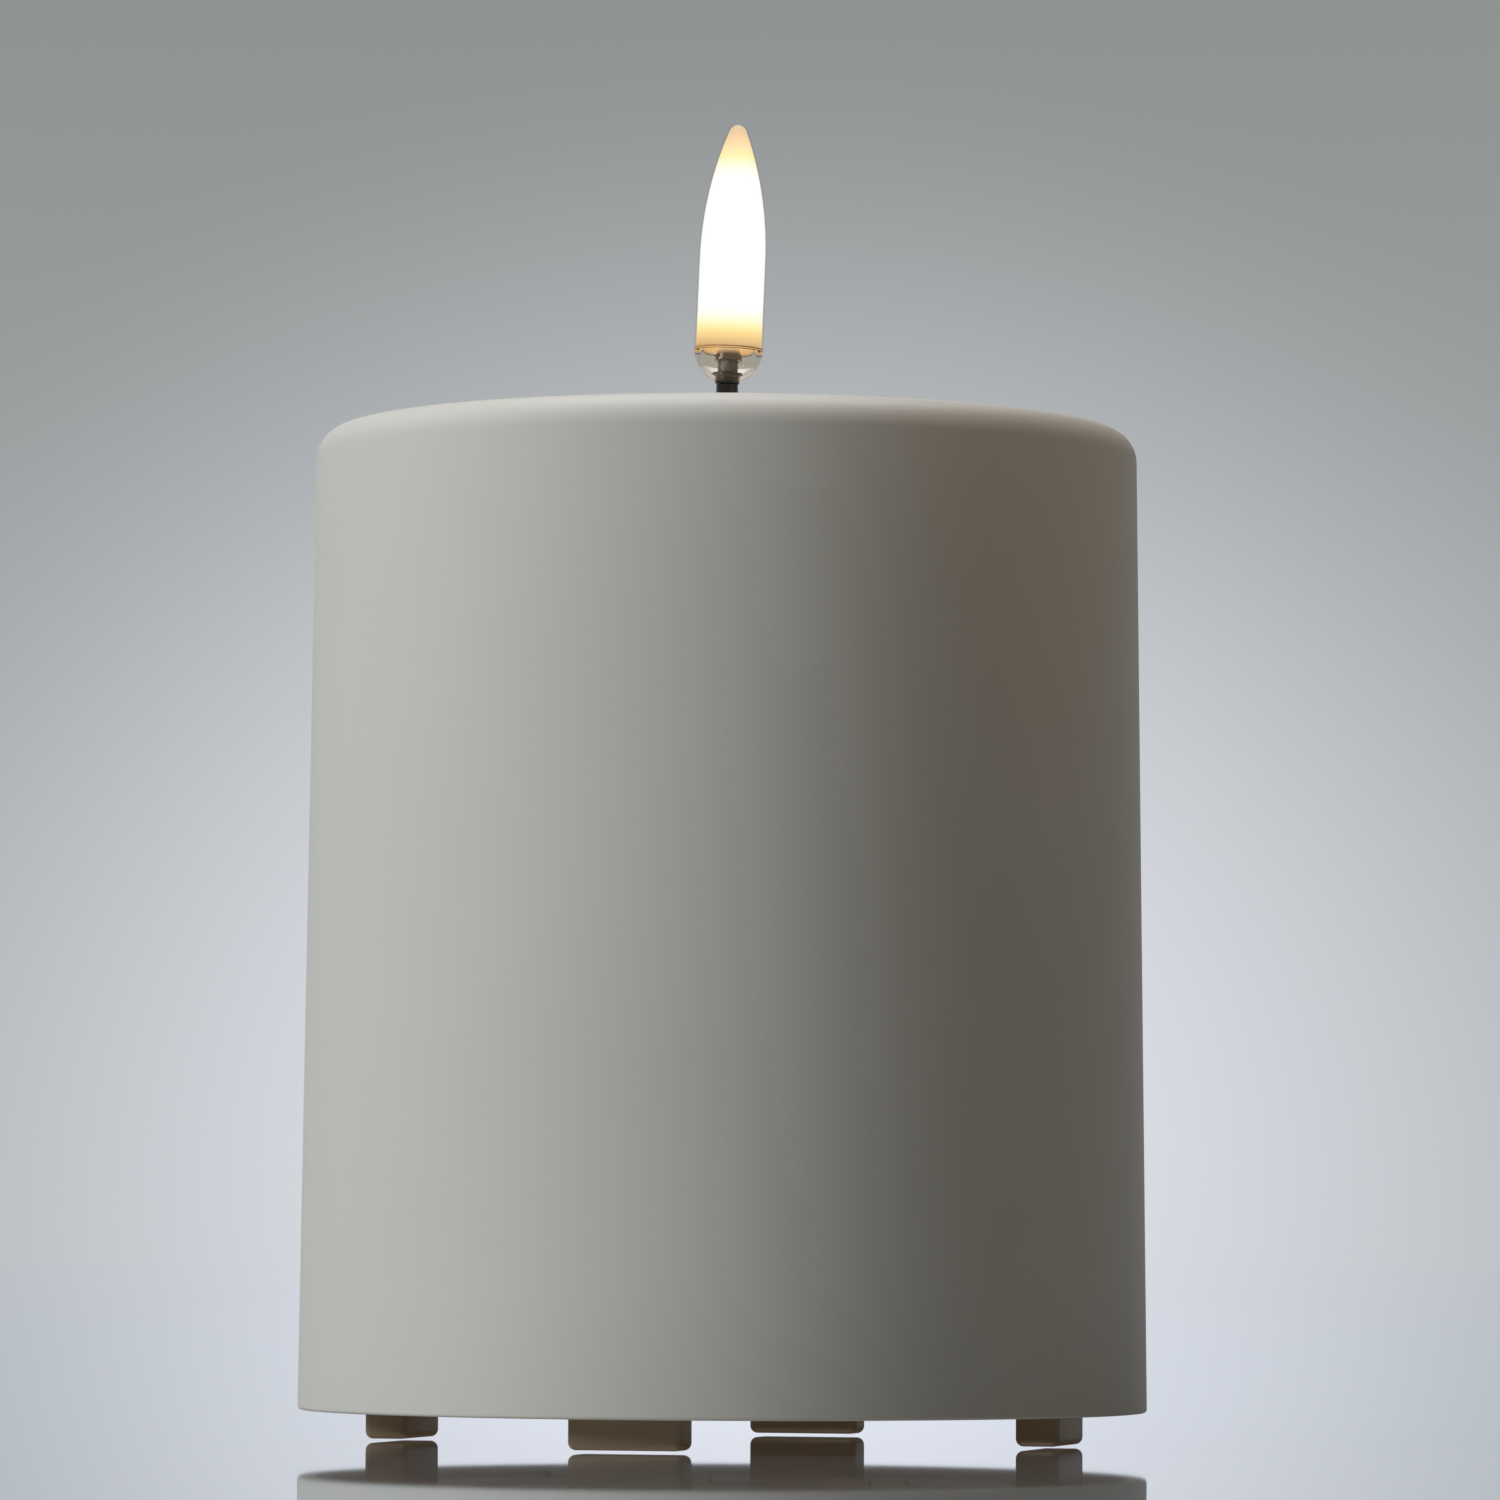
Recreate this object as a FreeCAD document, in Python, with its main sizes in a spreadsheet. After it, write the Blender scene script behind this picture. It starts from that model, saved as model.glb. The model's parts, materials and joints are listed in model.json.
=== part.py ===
import FreeCAD, Part
import math
import os
import re
import Sketcher

# LED pillar candle, standing on its four feet.
# Millimetres and degrees. The origin is the middle of the footprint on the
# table, +Z is up, and the feet stand on the X and Y axes.

# Driving sizes. Each one can be changed by itself.
SIZES = {
    # Pillar shell
    "rim_radius": 50.5,
    "top_radius": 49.05,
    "body_height": 117.25,
    "shell_wall": 2.2,
    "crown_rise": 0.35,
    "shoulder_radius": 3.8,
    "rim_edge": 0.4,
    "wick_sleeve_wall": 2.7,
    "wick_sleeve_depth": 6.0,
    "screw_boss_radius": 4.3,
    "screw_boss_height": 20.0,
    "screw_boss_inset": 4.0,
    # Base plate and feet
    "rim_gap": 3.7,
    "plate_recess": 1.4,
    "plate_thickness": 3.4,
    "plate_clearance": 0.2,
    "foot_inset": 8.1,
    "foot_width": 13.6,
    "foot_depth": 5.3,
    "foot_corner": 0.5,
    "foot_edge": 0.4,
    "seal_width": 1.4,
    "seal_depth": 0.8,
    "seal_stand": 0.12,
    "seal_fit": 0.05,
    # Screws
    "base_screw_radius": 1.3,
    "base_screw_length": 14.0,
    "base_head_radius": 2.5,
    "base_head_height": 1.9,
    "base_head_sink": 1.2,
    "small_screw_radius": 1.1,
    "small_screw_length": 6.4,
    "small_head_radius": 2.1,
    "small_head_height": 1.4,
    "switch_screw_radius": 0.8,
    "switch_screw_length": 3.0,
    "switch_head_radius": 1.5,
    "switch_head_height": 0.9,
    "thread_fit": 0.05,
    "screw_clearance": 0.35,
    "drive_recess_width": 0.5,
    "drive_recess_depth": 0.7,
    # Battery cells
    "cell_radius": 17.1,
    "cell_length": 61.5,
    "nub_radius": 4.75,
    "nub_height": 1.5,
    "cell_edge": 0.8,
    # Battery housing
    "cell_clearance": 0.4,
    "housing_wall": 1.6,
    "housing_roof": 1.6,
    "divider_thickness": 1.2,
    "divider_gap": 6.0,
    "ear_angle": 60.0,
    "ear_reach": 3.2,
    "ear_radius": 3.8,
    "ear_thickness": 2.0,
    "post_radius": 3.0,
    "post_height": 4.0,
    # Contacts
    "strip_thickness": 0.4,
    "strip_width": 10.0,
    "strip_end": 7.0,
    "spring_height": 3.2,
    "contact_gap": 0.2,
    "spring_wire": 0.4,
    "spring_foot_radius": 5.4,
    "spring_angle": -47.0,
    "spring_turns": 2.5,
    "button_foot_radius": 4.4,
    "button_top_radius": 3.2,
    "tail_width": 3.0,
    "tail_offset": 4.0,
    "tail_height": 5.0,
    "tail_slot_gap": 0.3,
    # Battery door
    "door_thickness": 1.6,
    "door_rebate": 1.2,
    "door_clearance": 0.3,
    "plug_height": 1.4,
    "plug_clearance": 0.5,
    "door_seal_width": 0.8,
    "door_seal_height": 0.7,
    "door_seal_gap": 0.1,
    "barrel_radius": 1.4,
    "hinge_gap": 0.6,
    "knuckle_length": 6.0,
    "knuckle_start": 7.0,
    "knuckle_gap": 0.3,
    "knuckle_swing_gap": 0.35,
    "hinge_ear_length": 4.2,
    "pin_radius": 0.75,
    "pin_fit": 0.05,
    "pin_end_gap": 0.4,
    "tab_width": 10.0,
    "tab_reach": 2.6,
    "scoop_length": 3.4,
    "scoop_skin": 1.0,
    # Switch
    "switch_place": 29.0,
    "switch_travel": 4.0,
    "switch_gap": 0.15,
    "slider_length": 6.5,
    "slider_width": 4.0,
    "slider_height": 1.6,
    "knob_length": 3.0,
    "knob_width": 2.6,
    "knob_reach": 1.5,
    "knob_slot_gap": 0.3,
    "case_wall": 0.8,
    "case_top": 2.4,
    "case_flange_length": 5.0,
    "case_flange_height": 0.8,
    "pin_pitch": 3.0,
    "switch_pin_width": 0.8,
    "switch_pin_thickness": 0.4,
    "switch_pin_height": 3.0,
    # Driver board
    "board_length": 30.0,
    "board_width": 24.0,
    "board_thickness": 1.6,
    "board_post_height": 4.0,
    "board_post_radius": 2.6,
    "board_screw_inset": 3.0,
    "chip_length": 5.0,
    "chip_width": 4.0,
    "chip_height": 1.5,
    "chip_lead_reach": 1.0,
    "chip_lead_width": 0.4,
    "chip_lead_pitch": 1.27,
    "chip_lead_height_share": 0.33,
    "capacitor_radius": 2.5,
    "capacitor_height": 7.0,
    "crystal_length": 6.0,
    "crystal_width": 2.0,
    "crystal_height": 2.2,
    "resistor_radius": 0.9,
    "resistor_length": 5.0,
    "resistor_pitch": 3.0,
    "connector_length": 7.0,
    "connector_width": 4.6,
    "connector_height": 5.6,
    "connector_wall": 0.8,
    # Where the parts stand on the board, as shares of its length and width
    "chip_length_share": -0.2,
    "chip_width_share": 0.125,
    "capacitor_length_share": 0.2,
    "capacitor_width_share": 0.167,
    "crystal_length_share": -0.2,
    "crystal_width_share": -0.143,
    "resistor_length_share": 0.11,
    "resistor_width_share": -0.1,
    # Leads
    "lead_radius": 0.55,
    "fine_lead_radius": 0.28,
    "fine_lead_spacing": 0.35,
    "lead_gap": 0.1,
    "lead_crest_share": 1.5,
    "lead_spread_share": 3.0,
    "lead_landing_share": 0.8,
    "lead_rise_share": 0.25,
    # Wick and flame
    "wick_radius": 1.3,
    "wick_bore_radius": 0.85,
    "wick_fit": 0.08,
    "wick_reach": 5.5,
    "wick_tail_share": 0.24,
    "retainer_radius": 4.6,
    "retainer_thickness": 2.5,
    "flame_lean_angle": 2.2,
    "flame_heading_angle": 15.3,
    "flame_radius": 4.14,
    "flame_length": 27.3,
    "flame_straight": 10.8,
    "nose_radius": 1.29,
    "sleeve_wall": 0.6,
    "cup_wall": 0.5,
    "spigot_height": 0.9,
    "spigot_wall": 0.5,
    "spigot_gap": 0.05,
    "collar_radius": 1.8,
    "collar_height": 0.3,
    "collar_neck_radius": 1.45,
    "stem_radius": 1.2,
    "stem_length": 1.6,
    "led_flange_radius": 1.65,
    "led_flange_height": 0.6,
    "led_radius": 1.45,
    "led_straight": 2.4,
    "seat_gap": 0.06,
    # One overrun for all cuts
    "overrun": 0.5,
}

# Sizes that follow from the driving ones, as formulas.
DERIVED = {
    # Shell
    "top": "rim_gap + body_height",
    "crown_radius": "(top_radius^2 + crown_rise^2) / (2 * crown_rise)",
    "crown_middle": "top - crown_radius",
    "wick_hole": "wick_radius + wick_fit",
    "sleeve_radius": "wick_hole + wick_sleeve_wall",
    "sleeve_bottom": "top - shell_wall - wick_sleeve_depth",
    "inner_top_radius": "top_radius - shell_wall",
    "inner_crown": "crown_radius - shell_wall",
    "inner_shoulder": "max(shoulder_radius - shell_wall; shell_wall / 2)",
    "side_slope": "(rim_radius - top_radius) / (body_height - crown_rise)",
    # Base plate
    "plate_bottom": "rim_gap + plate_recess",
    "plate_top": "plate_bottom + plate_thickness",
    "narrowing": "max(side_slope * plate_recess; side_slope * (plate_recess + plate_thickness))",
    "bore_at_plate": "rim_radius - narrowing - shell_wall",
    "plate_radius": "bore_at_plate - plate_clearance",
    "foot_circle": "plate_radius - foot_inset",
    "base_screw_circle": "bore_at_plate - screw_boss_inset",
    "base_screw_seat": "plate_bottom + base_head_sink",
    "base_screw_tip": "base_screw_seat + base_screw_length",
    "seal_bottom": "plate_bottom + (plate_thickness - seal_width) / 2",
    "seal_inner": "plate_radius - seal_depth",
    # Battery cells and housing
    "pocket_radius": "cell_radius + cell_clearance",
    "housing_radius": "pocket_radius + housing_wall",
    "plug_top": "plate_bottom + door_thickness + plug_height",
    "bridge_top": "plug_top + strip_thickness",
    "cell_bottom": "bridge_top + spring_height",
    "cell_top": "cell_bottom + cell_length",
    "roof_under": "cell_top + spring_height + strip_thickness",
    "housing_top": "roof_under + housing_roof",
    "ear_x": "pocket_radius + (housing_radius + ear_reach) * cos(ear_angle * 1deg)",
    "ear_y": "(housing_radius + ear_reach) * sin(ear_angle * 1deg)",
    "ear_bottom": "plate_top + post_height",
    "ear_top": "ear_bottom + ear_thickness",
    "coil_height": "spring_height - contact_gap - 2 * spring_wire",
    "tail_x": "pocket_radius + tail_offset",
    # Battery door
    "rebate_radius": "pocket_radius + door_rebate",
    "door_radius": "rebate_radius - door_clearance",
    "plug_radius": "pocket_radius - plug_clearance",
    "rebate_depth": "door_thickness + door_seal_height + door_seal_gap",
    "hinge_y": "rebate_radius + hinge_gap + barrel_radius",
    "hinge_z": "plate_bottom + door_thickness / 2",
    "notch_half": "knuckle_start + knuckle_length + knuckle_gap",
    "hinge_half": "notch_half + hinge_ear_length",
    "pin_start": "knuckle_start - knuckle_gap",
    "pin_length": "hinge_half - pin_end_gap - pin_start",
    # Switch
    "case_inside": "slider_length + switch_travel + 2 * switch_gap",
    "case_length": "case_inside + 2 * case_wall",
    "case_width": "slider_width + 2 * switch_gap + 2 * case_wall",
    "case_bottom_room": "slider_height + 2 * switch_gap",
    "case_height": "case_bottom_room + case_top",
    "case_ceiling": "plate_top + case_height",
    "flange_screw_x": "case_length / 2 + case_flange_length / 2",
    # Driver board
    "board_bottom": "housing_top + board_post_height",
    "board_top": "board_bottom + board_thickness",
    "board_screw_x": "board_length / 2 - board_screw_inset",
    "board_screw_y": "board_width / 2 - board_screw_inset",
    # Wick and flame
    "pivot": "top + wick_reach",
    "connector_top": "board_top + connector_height",
    "wick_tail": "wick_tail_share * (sleeve_bottom - retainer_thickness - connector_top)",
    "wick_end": "sleeve_bottom - retainer_thickness - wick_tail",
    "cup_height": "flame_radius",
    "ogive_rise": "flame_length - nose_radius - flame_straight",
    "ogive_radius": "(flame_radius^2 + ogive_rise^2 - nose_radius^2) / (2 * (flame_radius - nose_radius))",
    "nose_sine": "ogive_rise / (ogive_radius - nose_radius)",
    "nose_cosine": "(ogive_radius - flame_radius) / (ogive_radius - nose_radius)",
    "spigot_radius": "flame_radius - sleeve_wall - spigot_gap",
    "cup_inner": "flame_radius - cup_wall",
    "collar_seat": "flame_radius - sqrt(cup_inner^2 - collar_neck_radius^2) + seat_gap",
    "collar_rim": "flame_radius - sqrt(cup_inner^2 - collar_radius^2) + seat_gap",
    "collar_top": "collar_rim + collar_height",
    "stem_top": "collar_top + stem_length",
    "led_shoulder": "stem_top + led_flange_height",
    "led_tip": "led_shoulder + led_straight + led_radius",
}

# Signs of the four corners, for what repeats on both sides of both axes.
CORNERS = (("-", "-"), ("+", "-"), ("+", "+"), ("-", "+"))
# How much of the shorter run beside a lead's corner its arc takes up.
TANGENT_SHARE = 0.45
# A word in a formula.
WORD = re.compile(r"[a-z][a-z0-9_]*")

doc = FreeCAD.newDocument("led_pillar_candle")
sheet = doc.addObject("Spreadsheet::Sheet", "Sizes")
for row, (word, size) in enumerate(SIZES.items(), start=1):
    sheet.set(f"A{row}", str(size))
    sheet.setAlias(f"A{row}", word)
doc.recompute()

pieces = []


def formula(text):
    """A formula in plain size names, rewritten to read the sheet."""
    def read(match):
        word = match.group(0)
        if word in DERIVED:
            return f"({formula(DERIVED[word])})"
        return f"Sizes.{word}" if word in SIZES else word
    return WORD.sub(read, text)


def measure(text):
    """The present value of a formula, for first guesses and swept shapes."""
    return float(sheet.evalExpression(formula(text)))


def bind(thing, formulas):
    """Tie each property of a document object to its formula."""
    for prop, text in formulas.items():
        thing.setExpression(prop, formula(text))
    return thing


def keep(thing, name):
    """Name a finished sub-part after the node that it becomes."""
    thing.Label = name
    pieces.append(thing)
    return thing


# Bodies, sketches and their features

def new_body(name):
    return keep(doc.addObject("PartDesign::Body", name), name)


def origin_feature(body, role):
    return next(item for item in body.Origin.OriginFeatures if item.Role == role)


def attach(body, thing, role, place):
    """Put a sketch or a primitive on an origin plane, shifted by formulas."""
    thing.AttachmentSupport = [(origin_feature(body, role), "")]
    thing.MapMode = "FlatFace"
    for letter, text in zip("xyz", place):
        if text != "0":
            thing.setExpression(f"AttachmentOffset.Base.{letter}", formula(text))
    return thing


def sketch_on(body, name, role="XY_Plane", level="0"):
    sketch = body.newObject("Sketcher::SketchObject", name)
    return attach(body, sketch, role, ("0", "0", level))


def place_point(sketch, curve, end, x, y):
    """Hold one end of a curve at a place given by two formulas."""
    for kind, text in (("DistanceX", x), ("DistanceY", y)):
        index = sketch.addConstraint(Sketcher.Constraint(kind, -1, 1, curve, end, measure(text)))
        sketch.setExpression(f"Constraints[{index}]", formula(text))


def arc_between(start, finish, radius, side):
    """Arc from start to finish, with its middle on the left for a side of 1."""
    across = finish.sub(start)
    half = across.Length / 2
    away = math.sqrt(max(radius * radius - half * half, 0))
    left = FreeCAD.Vector(-across.y, across.x, 0).normalize()
    middle = start + across * 0.5 + left * (side * away)
    first, last = (start, finish) if side > 0 else (finish, start)
    circle = Part.Circle(middle, FreeCAD.Vector(0, 0, 1), radius)
    return Part.ArcOfCircle(circle, circle.parameter(first), circle.parameter(last))


def draw_outline(sketch, corners):
    """Closed outline. A corner is x, y, and for an arc to the next one its radius and side."""
    points = [FreeCAD.Vector(measure(corner[0]), measure(corner[1]), 0) for corner in corners]
    runs = []
    for index, corner in enumerate(corners):
        start = points[index]
        finish = points[(index + 1) % len(points)]
        if len(corner) > 2:
            side = corner[3]
            curve = sketch.addGeometry(arc_between(start, finish, measure(corner[2]), side))
            radius = sketch.addConstraint(Sketcher.Constraint("Radius", curve, measure(corner[2])))
            sketch.setExpression(f"Constraints[{radius}]", formula(corner[2]))
            runs.append((curve, 1, 2) if side > 0 else (curve, 2, 1))
        else:
            runs.append((sketch.addGeometry(Part.LineSegment(start, finish)), 1, 2))
    for index, (curve, head, tail) in enumerate(runs):
        following = runs[(index + 1) % len(runs)]
        sketch.addConstraint(Sketcher.Constraint("Coincident", curve, tail, following[0], following[1]))
        place_point(sketch, curve, head, corners[index][0], corners[index][1])
    return sketch


def draw_circle(sketch, radius):
    """Circle about the sketch's origin."""
    curve = sketch.addGeometry(Part.Circle(FreeCAD.Vector(), FreeCAD.Vector(0, 0, 1), measure(radius)))
    sketch.addConstraint(Sketcher.Constraint("Coincident", curve, 3, -1, 1))
    index = sketch.addConstraint(Sketcher.Constraint("Radius", curve, measure(radius)))
    sketch.setExpression(f"Constraints[{index}]", formula(radius))
    return sketch


def draw_oval(sketch, radius):
    """Outline round both battery cells: two half rounds joined by straight sides."""
    reach = f"pocket_radius + {radius}"
    corners = [
        ("pocket_radius", f"-({radius})", radius, 1),
        (reach, "0", radius, 1),
        ("pocket_radius", radius),
        ("-pocket_radius", radius, radius, 1),
        (f"-({reach})", "0", radius, 1),
        ("-pocket_radius", f"-({radius})"),
    ]
    return draw_outline(sketch, corners)


def pad(body, sketch, length):
    feature = body.newObject("PartDesign::Pad", f"{sketch.Name}_pad")
    feature.Profile = sketch
    return bind(feature, {"Length": length})


def pocket_up(body, sketch, depth):
    """Cut upward from the sketch's level."""
    feature = body.newObject("PartDesign::Pocket", f"{sketch.Name}_pocket")
    feature.Profile = sketch
    feature.Reversed = True
    return bind(feature, {"Length": depth})


def turn(body, sketch, kind="PartDesign::Revolution"):
    """Turn a section on the XZ plane about the Z axis."""
    feature = body.newObject(kind, f"{sketch.Name}_turned")
    feature.Profile = sketch
    feature.ReferenceAxis = (sketch, ["V_Axis"])
    feature.Angle = 360
    return feature


def rod(body, name, radius, length, place, cut=False, role="XY_Plane"):
    """Round stud or hole that stands on an origin plane."""
    kind = "PartDesign::SubtractiveCylinder" if cut else "PartDesign::AdditiveCylinder"
    feature = body.newObject(kind, name)
    attach(body, feature, role, place)
    return bind(feature, {"Radius": radius, "Height": length})


def block(body, name, size, place, cut=False):
    """Square block or cut. Its place is the middle of its lower face."""
    kind = "PartDesign::SubtractiveBox" if cut else "PartDesign::AdditiveBox"
    feature = body.newObject(kind, name)
    corner = (f"{place[0]} - ({size[0]}) / 2", f"{place[1]} - ({size[1]}) / 2", place[2])
    attach(body, feature, "XY_Plane", corner)
    return bind(feature, {"Length": size[0], "Width": size[1], "Height": size[2]})


def repeat_round(body, features, count):
    """Repeat features about the Z axis."""
    pattern = body.newObject("PartDesign::PolarPattern", f"{features[0].Name}_round")
    pattern.Originals = features
    pattern.Axis = (origin_feature(body, "Z_Axis"), [""])
    pattern.Angle = 360
    pattern.Occurrences = count
    body.Tip = pattern
    return pattern


def edges_where(shape, wanted):
    return [f"Edge{index}" for index, edge in enumerate(shape.Edges, start=1) if wanted(edge)]


def soften(body, name, radius, wanted):
    """Round the edges of the body that a test picks."""
    doc.recompute()
    base = body.Tip
    feature = body.newObject("PartDesign::Fillet", name)
    feature.Base = (base, edges_where(base.Shape, wanted))
    return bind(feature, {"Radius": radius})


def near(value, target):
    return abs(value - target) < measure("overrun") / 10


def is_ring(edge, radius, level):
    """A full circle about Z of one radius at one level."""
    box = edge.BoundBox
    return near(box.XMax, radius) and near(box.YMax, radius) and near(box.ZMin, level) and near(box.ZMax, level)


# Plain solids and their booleans

def solid(kind, name, formulas, place=("0", "0", "0")):
    thing = doc.addObject(kind, name)
    bind(thing, formulas)
    for letter, text in zip("xyz", place):
        if text != "0":
            thing.setExpression(f"Placement.Base.{letter}", formula(text))
    return thing


def cylinder(name, radius, length, place):
    return solid("Part::Cylinder", name, {"Radius": radius, "Height": length}, place)


def cone(name, lower, upper, length, place):
    return solid("Part::Cone", name, {"Radius1": lower, "Radius2": upper, "Height": length}, place)


def box(name, size, place):
    """Box whose place is the middle of its lower face."""
    corner = (f"{place[0]} - ({size[0]}) / 2", f"{place[1]} - ({size[1]}) / 2", place[2])
    return solid("Part::Box", name, {"Length": size[0], "Width": size[1], "Height": size[2]}, corner)


def cut(name, base, tool):
    thing = doc.addObject("Part::Cut", name)
    thing.Base = base
    thing.Tool = tool
    return thing


def fuse(name, things):
    thing = doc.addObject("Part::MultiFuse", name)
    thing.Shapes = things
    return thing


def group(name, things):
    thing = doc.addObject("Part::Compound", name)
    thing.Links = things
    return thing


def screw(name, sizes, place, upward):
    """Pan head screw with a plain shank and a cross recess. Its place is the seat of the head."""
    x, y, seat = place
    sign = "" if upward else "-"
    head_low = f"{seat} - {sizes}_head_height" if upward else seat
    shank_low = seat if upward else f"{seat} - {sizes}_screw_length"
    head = cylinder(f"{name}_head", f"{sizes}_head_radius", f"{sizes}_head_height", (x, y, head_low))
    shank = cylinder(f"{name}_shank", f"{sizes}_screw_radius", f"{sizes}_screw_length", (x, y, shank_low))
    whole = fuse(f"{name}_blank", [head, shank])
    face = f"{seat} - {sizes}_head_height" if upward else f"{seat} + {sizes}_head_height"
    depth = "drive_recess_depth"
    low = face if upward else f"{face} - {depth}"
    arm = f"{sizes}_head_radius"
    arms = [
        box(f"{name}_arm_x", (arm, "drive_recess_width", depth), (x, y, low)),
        box(f"{name}_arm_y", ("drive_recess_width", arm, depth), (x, y, low)),
    ]
    return cut(name, whole, fuse(f"{name}_cross", arms))


# Pillar shell

def make_candle_shell():
    body = new_body("candle_shell")
    outer_level = "top - crown_rise"
    inner_level = "crown_middle + sqrt(inner_crown^2 - inner_top_radius^2)"
    section = sketch_on(body, "shell_section", "XZ_Plane")
    draw_outline(section, [
        ("rim_radius - shell_wall", "rim_gap"),
        ("rim_radius", "rim_gap"),
        ("top_radius", outer_level, "crown_radius", 1),
        ("wick_hole", "crown_middle + sqrt(crown_radius^2 - wick_hole^2)"),
        ("wick_hole", "sleeve_bottom"),
        ("sleeve_radius", "sleeve_bottom"),
        ("sleeve_radius", "crown_middle + sqrt(inner_crown^2 - sleeve_radius^2)", "inner_crown", -1),
        ("inner_top_radius", inner_level),
    ])
    turn(body, section)
    top_radius = measure("top_radius")
    top_level = measure(outer_level)
    soften(body, "shoulder", "shoulder_radius", lambda edge: is_ring(edge, top_radius, top_level))
    inner_radius = measure("inner_top_radius")
    under_level = measure(inner_level)
    soften(body, "inner_shoulder", "inner_shoulder", lambda edge: is_ring(edge, inner_radius, under_level))
    rim_radius = measure("rim_radius")
    rim_level = measure("rim_gap")
    soften(body, "rim_softening", "rim_edge", lambda edge: is_ring(edge, rim_radius, rim_level))
    # Four bosses on the wall take the base screws.
    place = ("base_screw_circle * cos(45deg)", "base_screw_circle * sin(45deg)", "plate_top")
    boss = rod(body, "screw_boss", "screw_boss_radius", "screw_boss_height", place)
    repeat_round(body, [boss], 4)
    hole_depth = "base_screw_tip - plate_top + overrun"
    hole = rod(body, "screw_hole", "base_screw_radius + thread_fit", hole_depth, place, cut=True)
    repeat_round(body, [hole], 4)


# Base plate

def make_base_plate():
    body = new_body("base_plate")
    pad(body, draw_circle(sketch_on(body, "plate_disc", level="plate_bottom"), "plate_radius"), "plate_thickness")
    foot = sketch_on(body, "foot_outline")
    near_x = "foot_circle - foot_depth / 2"
    far_x = "foot_circle + foot_depth / 2"
    draw_outline(foot, [
        (near_x, "-foot_width / 2"),
        (far_x, "-foot_width / 2"),
        (far_x, "foot_width / 2"),
        (near_x, "foot_width / 2"),
    ])
    repeat_round(body, [pad(body, foot, "plate_bottom + plate_thickness / 2")], 4)
    plate_bottom = measure("plate_bottom")
    corner_test = lambda edge: near(edge.BoundBox.ZMin, 0) and near(edge.BoundBox.ZMax, plate_bottom)
    soften(body, "foot_corners", "foot_corner", corner_test)
    soften(body, "foot_edges", "foot_edge", lambda edge: near(edge.BoundBox.ZMax, 0))
    # Opening for the cells, with a rebate that the door fills.
    opening = draw_oval(sketch_on(body, "opening", level="plate_bottom - overrun"), "pocket_radius")
    pocket_up(body, opening, "plate_thickness + 2 * overrun")
    rebate = draw_oval(sketch_on(body, "rebate", level="plate_bottom - overrun"), "rebate_radius")
    pocket_up(body, rebate, "rebate_depth + overrun")
    # Hinge ears: a bar along X, cleared in the middle for the door's knuckles.
    rod(body, "hinge_bar", "barrel_radius", "2 * hinge_half", ("hinge_y", "hinge_z", "-hinge_half"), role="YZ_Plane")
    notch_end = "hinge_y + barrel_radius + knuckle_swing_gap"
    notch_low = "hinge_z - barrel_radius - overrun"
    notch_high = "hinge_z + barrel_radius + knuckle_swing_gap"
    notch_size = ("2 * notch_half", f"{notch_end} - pocket_radius - door_rebate / 2", f"{notch_high} - ({notch_low})")
    block(body, "hinge_notch", notch_size, ("0", f"({notch_end} + pocket_radius + door_rebate / 2) / 2", notch_low),
          cut=True)
    bore_half = "pin_start + pin_length + pin_end_gap / 2"
    rod(body, "hinge_bore", "pin_radius + pin_fit", f"2 * ({bore_half})", ("hinge_y", "hinge_z", f"-({bore_half})"),
        cut=True, role="YZ_Plane")
    # Finger scoop beside the door's tab.
    scoop_end = "rebate_radius + tab_reach + scoop_length"
    block(body, "finger_scoop",
          ("tab_width + 2 * door_clearance", f"{scoop_end} - pocket_radius - door_rebate / 2",
           "plate_thickness - scoop_skin + overrun"),
          ("0", f"-({scoop_end} + pocket_radius + door_rebate / 2) / 2", "plate_bottom - overrun"), cut=True)
    # Screws that hold the plate to the shell.
    place = ("base_screw_circle * cos(45deg)", "base_screw_circle * sin(45deg)", "plate_bottom - overrun")
    shank_hole = rod(body, "base_screw_hole", "base_screw_radius + screw_clearance",
                     "plate_thickness + 2 * overrun", place, cut=True)
    repeat_round(body, [shank_hole], 4)
    head_hole = rod(body, "base_head_hole", "base_head_radius + screw_clearance",
                    "base_head_sink + overrun", place, cut=True)
    repeat_round(body, [head_hole], 4)
    # Posts under the battery housing's ears.
    for index, (side_x, side_y) in enumerate(CORNERS):
        x, y = f"{side_x}1 * (ear_x)", f"{side_y}1 * (ear_y)"
        rod(body, f"housing_post_{index}", "post_radius", "post_height + overrun", (x, y, "plate_top - overrun"))
        tip = "ear_top - small_screw_length - overrun"
        rod(body, f"housing_post_hole_{index}", "small_screw_radius + thread_fit",
            f"ear_bottom - ({tip}) + overrun", (x, y, tip), cut=True)
    # Slot for the switch knob and holes for the switch screws.
    block(body, "knob_slot", ("knob_length + switch_travel + 2 * knob_slot_gap", "knob_width + 2 * knob_slot_gap",
                              "plate_thickness + 2 * overrun"),
          ("0", "-switch_place", "plate_bottom - overrun"), cut=True)
    for index, side in enumerate(("-", "+")):
        depth = "switch_screw_length - case_flange_height + overrun"
        rod(body, f"switch_screw_hole_{index}", "switch_screw_radius + thread_fit", f"{depth} + overrun",
            (f"{side}1 * (flange_screw_x)", "-switch_place", f"plate_top - ({depth})"), cut=True)
    # Groove round the edge for the seal.
    groove = sketch_on(body, "seal_groove", "XZ_Plane")
    draw_outline(groove, [
        ("seal_inner", "seal_bottom"),
        ("plate_radius + overrun", "seal_bottom"),
        ("plate_radius + overrun", "seal_bottom + seal_width"),
        ("seal_inner", "seal_bottom + seal_width"),
    ])
    turn(body, groove, "PartDesign::Groove")


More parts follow.
